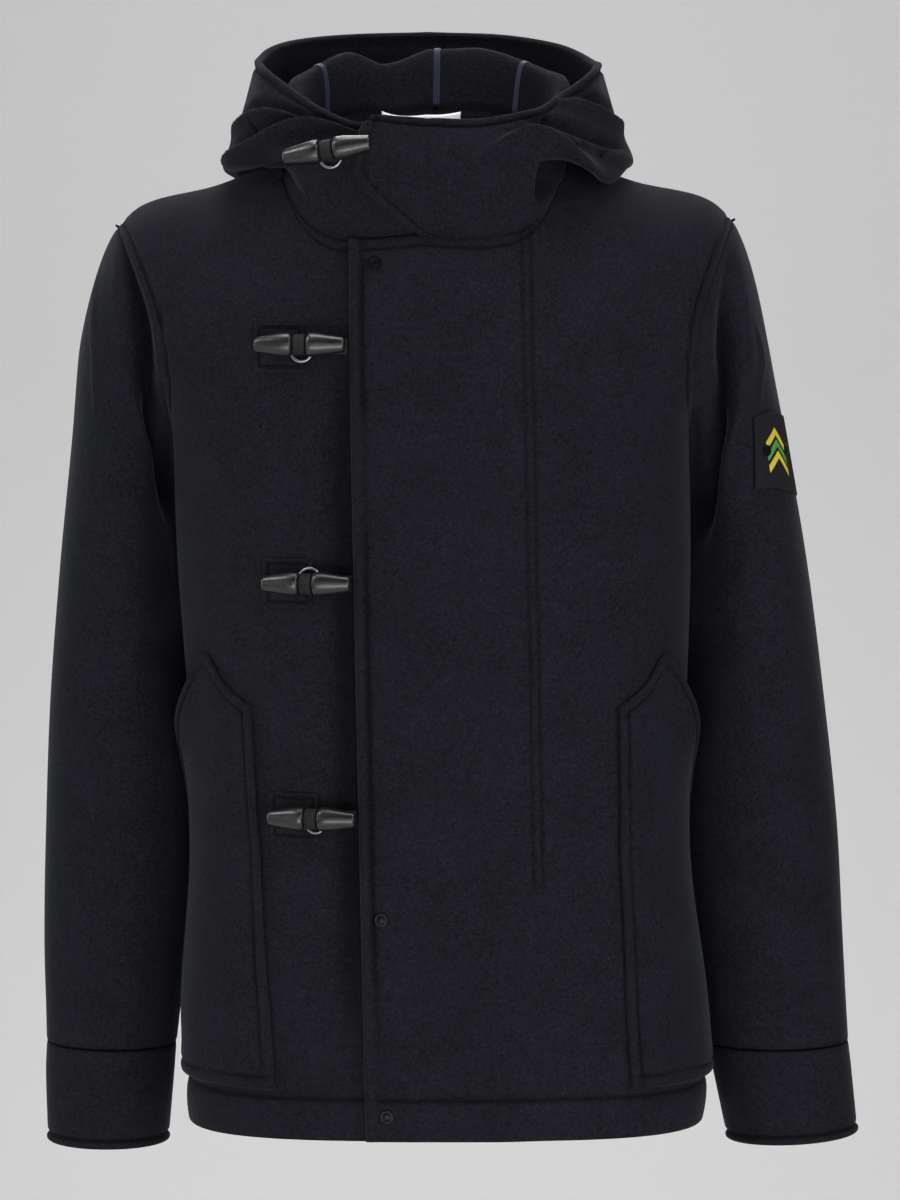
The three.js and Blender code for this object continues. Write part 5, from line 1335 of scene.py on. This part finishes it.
def add_toggle(number, point, normal, level, ring_drop):
    """A toggle with its band and ring."""
    axis = point + normal * TOGGLE["lift"]
    profile = [(-at, radius) for at, radius in TOGGLE_PROFILE[:0:-1]] + TOGGLE_PROFILE
    shape, faces = lathe(profile, TOGGLE["sides"])
    shape[:, 2] *= TOGGLE["flat"]
    toggle = add_mesh("toggle_" + number + "_horn", standing(shape, axis, level, normal), faces, horn)
    dress(toggle, "horn", "toggle_" + number)
    inner, outer, half = BAND["inner"], BAND["outer"], BAND["half"]
    one_side = [(-half, inner), (-half, outer - 0.4), (-half + 0.3, outer), (-1.2, outer + 0.25)]
    loop = [*one_side, (0, outer - 0.1), *[(-at, radius) for at, radius in one_side[::-1]], one_side[0]]
    shape, faces = lathe(loop, TOGGLE["sides"], closed_ends=False)
    shape[:, 2] *= TOGGLE["flat"]
    # The loop's last row of points is its first one again.
    last = len(shape) - TOGGLE["sides"]
    faces = [tuple(v - last if v >= last else v for v in face) for face in faces]
    turn = np.arctan2(shape[:last, 2], shape[:last, 0]) / (2 * math.pi) * BAND["round"]
    uvs = np.stack([turn, shape[:last, 1] * MM], -1)
    shape = standing(shape[:last], axis, level, normal)
    band = add_mesh("toggle_" + number + "_band", shape, faces, webbing, uvs)
    dress(band, "webbing", "toggle_band_" + number)
    up = np.cross(normal, level)
    centre = point + normal * RING["lift"] - up * RING["drop"] * ring_drop
    steps, sides = RING["steps"], RING["sides"]
    points, faces = [], []
    for i, a in enumerate(np.linspace(0, 2 * math.pi, steps, endpoint=False)):
        for j, b in enumerate(np.linspace(0, 2 * math.pi, sides, endpoint=False)):
            away = RING["radius"] + RING["wire"] * math.cos(b)
            points.append((away * math.cos(a), away * math.sin(a), RING["wire"] * math.sin(b)))
            next_step, next_side = (i + 1) % steps, (j + 1) % sides
            faces.append((i * sides + j, next_step * sides + j, next_step * sides + next_side,
                          i * sides + next_side))
    shape = standing(np.array(points), centre, up, normal)
    wire = add_mesh("toggle_" + number + "_ring", shape, faces, ring_metal)
    dress(wire, "ring_metal", "toggle_ring_" + number)


def near_edge(face):
    """How far each point of a grid is from its nearest border."""
    return np.min([reach_from(face, border) for border in ("first", "last", "bottom", "top")], 0)


def patch_relief(face):
    return pulled_in(near_edge(face) - PATCH["stitch"], 0.9, 1.2)


TOGGLE_PLACES = (("2", -85, -133.5, 1), ("3", -79, -298, -1), ("4", -75, -462.5, 1))
toggle_rows = []
for number, x, z, ring_drop in TOGGLE_PLACES:
    point, normal, level = front_places(x, z, 0)
    add_toggle(number, point, normal, level, ring_drop)
    edge_height = z - ARMPIT_LEVEL if z <= ARMPIT_LEVEL else (z - ARMPIT_LEVEL) / -ARMPIT_LEVEL
    tape_end = float(fly_edge_x(np.array(float(edge_height)))) - TAPE["short_of_fly"]
    tape, _ = front_patch("toggle_" + number + "_tape", webbing, x - TAPE["behind"], tape_end,
                          z - TAPE["half"], z + TAPE["half"], TAPE["lift"], TAPE["thickness"])
    dress(tape, "webbing", "toggle_tape_" + number)
    left, right, low, high = x - PATCH["width"], x + PATCH["past"], z - PATCH["half"], z + PATCH["half"]
    patch, _ = front_patch("toggle_" + number + "_patch", wool, left, right, low, high,
                           PATCH["lift"], PATCH["thickness"], patch_relief)
    dress(patch, "wool", "toggle_patch_" + number)
    left, right = left + PATCH["stitch"], right - PATCH["stitch"]
    low, high = low + PATCH["stitch"], high - PATCH["stitch"]
    corners = np.array([(left, low), (right, low), (right, high), (left, high), (left, low)], float)
    row = [mix(a, b, share) for a, b in zip(corners, corners[1:])
           for share in np.linspace(0, 1, 8, endpoint=False)]
    row = np.array([*row, row[0]])
    toggle_rows.append(front_places(row[:, 0], row[:, 1], PATCH["lift"] + PATCH["thickness"] - 0.4)[0])

THROAT_TOGGLE = {"angle": -31.6, "share": 0.6, "lean": 16, "tape_shares": (0.54, 0.66),
                 "tape_angles": (-28.2, -34)}


def hood_place(angle, share, lift):
    """A place on the hood's outer face moved out, with its outward direction."""
    out = inside_hood(angle, share, -CLOTH - 1.0)
    base = inside_hood(angle, share, -CLOTH)
    square = out - base
    return base + square * lift, square


angle, share = THROAT_TOGGLE["angle"], THROAT_TOGGLE["share"]
point, normal = hood_place(angle, share, 0)
level = hood_place(angle + 2, share, 0)[0] - hood_place(angle - 2, share, 0)[0]
level -= normal * (level @ normal)
level /= np.linalg.norm(level)
lean = math.radians(THROAT_TOGGLE["lean"])
level = level * math.cos(lean) + np.cross(normal, level) * math.sin(lean)
add_toggle("1", point, normal, level, 1)
tape_grid_angles = mix(*THROAT_TOGGLE["tape_angles"], graded(13, 1.6))
tape_grid_shares = mix(*THROAT_TOGGLE["tape_shares"], graded(12, 1.6))
tape_lift = TAPE["lift"] + TAPE["thickness"]
tape_face = hood_place(tape_grid_angles[None, :], tape_grid_shares[:, None], tape_lift)[0]
tape, _ = cloth_piece("toggle_1_tape", tape_face, webbing, thickness=TAPE["thickness"])
dress(tape, "webbing", "toggle_tape_1")
stitched("toggle_stitching", toggle_rows, **{"Stitch pitch": 2.6, "Stitch length": 2.0})

# ---- The press studs ----
# Satin black enamelled caps, slightly domed with a rolled rim, clenched through the upper front.
enamel, enamel_tree, enamel_surface = new_material("black_enamel")
specks = noise(enamel_tree, enamel_tree.nodes.new("ShaderNodeTexCoord").outputs["Object"], 900, 3, 0.6)
enamel_colour = blend_colours(enamel_tree, specks, (0.0015, 0.0015, 0.002, 1), (0.003, 0.003, 0.0035, 1))
enamel_tree.links.new(enamel_colour, enamel_surface.inputs["Base Color"])
enamel_gloss = spread_out(enamel_tree, specks, 0.3, 0.7, 0.30, 0.40)
enamel_tree.links.new(enamel_gloss, enamel_surface.inputs["Roughness"])
enamel_surface.inputs["Specular IOR Level"].default_value = 0.1
CAP_PROFILE = [(0, 5.0), (0.7, 5.05), (1.2, 4.8), (1.35, 4.4), (1.2, 3.9), (1.15, 3.5), (1.6, 2.6),
               (1.85, 1.4), (1.9, 0.4)]
STUD_PLACES = ((-34.4, -76), (-29.6, -533.5), (-26, -671.5))


def add_cap(name, node, point, normal, over, size=1.0):
    shape, faces = lathe([(at * size, radius * size) for at, radius in CAP_PROFILE], 32)
    cap = add_mesh(name, standing(shape, point, normal, over), faces, enamel)
    dress(cap, "cap", node)


for number, (x, z) in enumerate(STUD_PLACES, 1):
    point, normal, over = front_places(x, z, LAP + 0.5)
    add_cap("press_stud_" + str(number), "snap_" + str(number), point, normal, over)

# ---- The sleeve badge ----
# A black woven badge with a stitched edge, held on the left sleeve by two buttons so that it
# can be taken off. Its motif is plain bars and chevrons in yellow and green.
badge, badge_tree, badge_surface = new_material("woven_badge")
badge_uv = badge_tree.nodes.new("ShaderNodeTexCoord").outputs["UV"]
apart = badge_tree.nodes.new("ShaderNodeSeparateXYZ")
badge_tree.links.new(badge_uv, apart.inputs["Vector"])
BADGE = {"from": 0.224, "to": 0.303, "front_turn": 72, "outer_turn": 24, "swing": 9,
         "slant": 0.034, "lift": 1.2, "thickness": 1.2}
GROUND = (0.008, 0.008, 0.010, 1)
YELLOW = (0.50, 0.40, 0.03, 1)
GREEN = (0.06, 0.22, 0.05, 1)
BARS = ((0.38, 0.47, YELLOW), (0.52, 0.61, GREEN), (0.66, 0.75, YELLOW))
BAR_HALF = 0.24
BAR_BEND = 0.8


def within(group, value, low, high):
    """1 where a value lies between two others."""
    return calculate(group, "MULTIPLY", calculate(group, "GREATER_THAN", value, low),
                     calculate(group, "LESS_THAN", value, high))


badge_over, badge_up = apart.outputs["X"], apart.outputs["Y"]
from_middle = calculate(badge_tree, "ABSOLUTE", calculate(badge_tree, "SUBTRACT", badge_over, 0.5), 0)
peak = calculate(badge_tree, "ADD", badge_up, calculate(badge_tree, "MULTIPLY", from_middle, BAR_BEND))
in_width = calculate(badge_tree, "LESS_THAN", from_middle, BAR_HALF)
badge_colour = GROUND
for low, high, colour in BARS:
    bar = calculate(badge_tree, "MULTIPLY", within(badge_tree, peak, low, high), in_width)
    badge_colour = blend_colours(badge_tree, bar, badge_colour, colour)
badge_tree.links.new(badge_colour, badge_surface.inputs["Base Color"])
badge_surface.inputs["Roughness"].default_value = 0.75
badge_surface.inputs["Specular IOR Level"].default_value = 0.12
badge_threads = badge_tree.nodes.new("ShaderNodeTexWave")
badge_threads.inputs["Scale"].default_value = 14
badge_tree.links.new(badge_uv, badge_threads.inputs["Vector"])
ribs_stand_up(badge_tree, badge_surface, badge_threads.outputs["Fac"], 0.4)


def arm_places(share, degrees, lift):
    """Places on the left sleeve's front, with its creases, moved out."""
    share, degrees = np.broadcast_arrays(np.asarray(share, float), np.asarray(degrees, float))
    turn = np.radians(degrees)
    up = arm_point(1, share - 0.01, turn) - arm_point(1, share + 0.01, turn)
    over = arm_point(1, share, turn + 0.05) - arm_point(1, share, turn - 0.05)
    square = np.cross(up, over)
    square /= np.linalg.norm(square, axis=-1, keepdims=True)
    return arm_point(1, share, turn) + square * (arm_relief(1, degrees, share) + lift)[..., None], square


badge_shares = mix(BADGE["to"], BADGE["from"], graded(56, 1.6))
badge_low = (badge_shares[:, None] - BADGE["from"]) / (BADGE["to"] - BADGE["from"])
badge_over_shares = graded(46, 1.6)[None, :]
badge_turns = mix(BADGE["outer_turn"], BADGE["front_turn"] + BADGE["swing"] * badge_low, badge_over_shares)
badge_rows = badge_shares[:, None] + BADGE["slant"] * (1 - badge_over_shares)
face = arm_places(badge_rows, badge_turns, BADGE["lift"] + BADGE["thickness"])[0]
sleeve_badge, _ = cloth_piece("sleeve_badge_patch", face, badge, thickness=BADGE["thickness"],
                              fine=turned_edge(near_edge(face), 2.6, 0.5, 0.3))
# The motif needs the badge's UV map to run from 0 to 1 both ways.
badge_map = sleeve_badge.data.uv_layers[0].data
uvs = np.array([[corner.uv[0], corner.uv[1]] for corner in badge_map])
uvs = (uvs - uvs.min(0)) / (uvs.max(0) - uvs.min(0))
badge_map.foreach_set("uv", uvs.astype(np.float32).ravel())
dress(sleeve_badge, "badge", "sleeve_badge")
BUTTON_PLACES = ((1, 0.272, 64), (2, 0.288, 35))
BUTTON_SIZE = 0.8
for number, share, degrees in BUTTON_PLACES:
    point, normal = arm_places(share, degrees, BADGE["lift"] + BADGE["thickness"] + 0.5)
    add_cap("badge_button_" + str(number) + "_cap", "badge_button_" + str(number), point, normal,
            np.array([1.0, 0, 0]), BUTTON_SIZE)

# ---- The room, the lights and the camera ----
# A pale seamless floor that sweeps up into a backdrop, soft lights on every side, and the
# camera straight in front at chest height, looking a little down.
FLOOR = {"level": -1.42, "front": -6.0, "back": 3.0, "half": 9}
SWEEP_RADIUS = 2.0
BACKDROP_TOP = 6.0
sweep = [(FLOOR["front"], FLOOR["level"]), (FLOOR["back"], FLOOR["level"])]
for a in np.linspace(0.1, math.pi / 2, 14):
    over, up = SWEEP_RADIUS * math.sin(a), SWEEP_RADIUS * (1 - math.cos(a))
    sweep.append((FLOOR["back"] + over, FLOOR["level"] + up))
sweep.append((FLOOR["back"] + SWEEP_RADIUS, BACKDROP_TOP))
backdrop_mesh = bpy.data.meshes.new("backdrop")
backdrop_points = [(x, y, z) for y, z in sweep for x in (-FLOOR["half"], FLOOR["half"])]
backdrop_faces = [(2 * i, 2 * i + 1, 2 * i + 3, 2 * i + 2) for i in range(len(sweep) - 1)]
backdrop_mesh.from_pydata(backdrop_points, [], backdrop_faces)
backdrop_mesh.polygons.foreach_set("use_smooth", [True] * len(backdrop_mesh.polygons))
paper, _, paper_surface = new_material("backdrop_paper")
paper_surface.inputs["Base Color"].default_value = (0.62, 0.62, 0.62, 1)
paper_surface.inputs["Roughness"].default_value = 1.0
paper_surface.inputs["Specular IOR Level"].default_value = 0.0
backdrop_mesh.materials.append(paper)
backdrop = bpy.data.objects.new("backdrop", backdrop_mesh)
bpy.context.scene.collection.objects.link(backdrop)
backdrop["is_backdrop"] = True

world = bpy.data.worlds.new("studio")
world.use_nodes = True
world.node_tree.nodes["Background"].inputs["Color"].default_value = (1, 1, 1, 1)
world.node_tree.nodes["Background"].inputs["Strength"].default_value = 0.05
bpy.context.scene.world = world


def add_light(name, place, target, width, height, power):
    light = bpy.data.lights.new(name, "AREA")
    light.shape = "RECTANGLE"
    light.size, light.size_y = width, height
    light.energy = power
    lamp = bpy.data.objects.new(name, light)
    lamp.location = place
    heading = np.array(target) - np.array(place)
    lamp.rotation_euler = Vector(heading).to_track_quat("-Z", "Y").to_euler()
    lamp.visible_camera = False
    bpy.context.scene.collection.objects.link(lamp)


CHEST = (0, 0, -0.3)
add_light("top", (0, 0, 2.2), CHEST, 1.6, 1.2, 44)
add_light("upper_left", (-1.9, -0.8, 1.9), CHEST, 0.7, 0.7, 24)
add_light("upper_right", (1.9, -0.8, 1.9), CHEST, 0.7, 0.7, 20)
add_light("front", (0, -3.6, -0.2), CHEST, 2.5, 2.0, 25)
add_light("low_front", (0, -2.4, -1.1), CHEST, 2.4, 0.6, 34)
add_light("right_front", (2.4, -2.2, 0.2), CHEST, 1.2, 2.2, 40)
add_light("left_front", (-2.4, -2.2, 0.2), CHEST, 1.2, 2.2, 9)
add_light("left_side", (-2.6, 0.3, 0.2), CHEST, 1.0, 2.2, 32)
add_light("behind", (0, 1.9, 2.3), (0, 0, 0), 1.8, 0.8, 50)
add_light("backdrop_wash", (0, 1.3, -0.2), (0, 5.0, -0.1), 3.4, 3.0, 80)

# The camera looks at a point as far below it as LOOKS_DOWN, over the distance to the parka.
CAMERA_LENS = 123.43
CAMERA_PLACE = (0.018, -3.0, -0.170)
LOOKS_DOWN = 0.146
camera_data = bpy.data.cameras.new("camera")
camera_data.lens = CAMERA_LENS
camera_data.sensor_width = 36
camera = bpy.data.objects.new("camera", camera_data)
camera.location = CAMERA_PLACE
camera.rotation_euler = (math.atan2(-CAMERA_PLACE[1], LOOKS_DOWN), 0, 0)
bpy.context.scene.collection.objects.link(camera)
bpy.context.scene.camera = camera
bpy.context.scene.view_settings.view_transform = "Standard"

low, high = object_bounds()
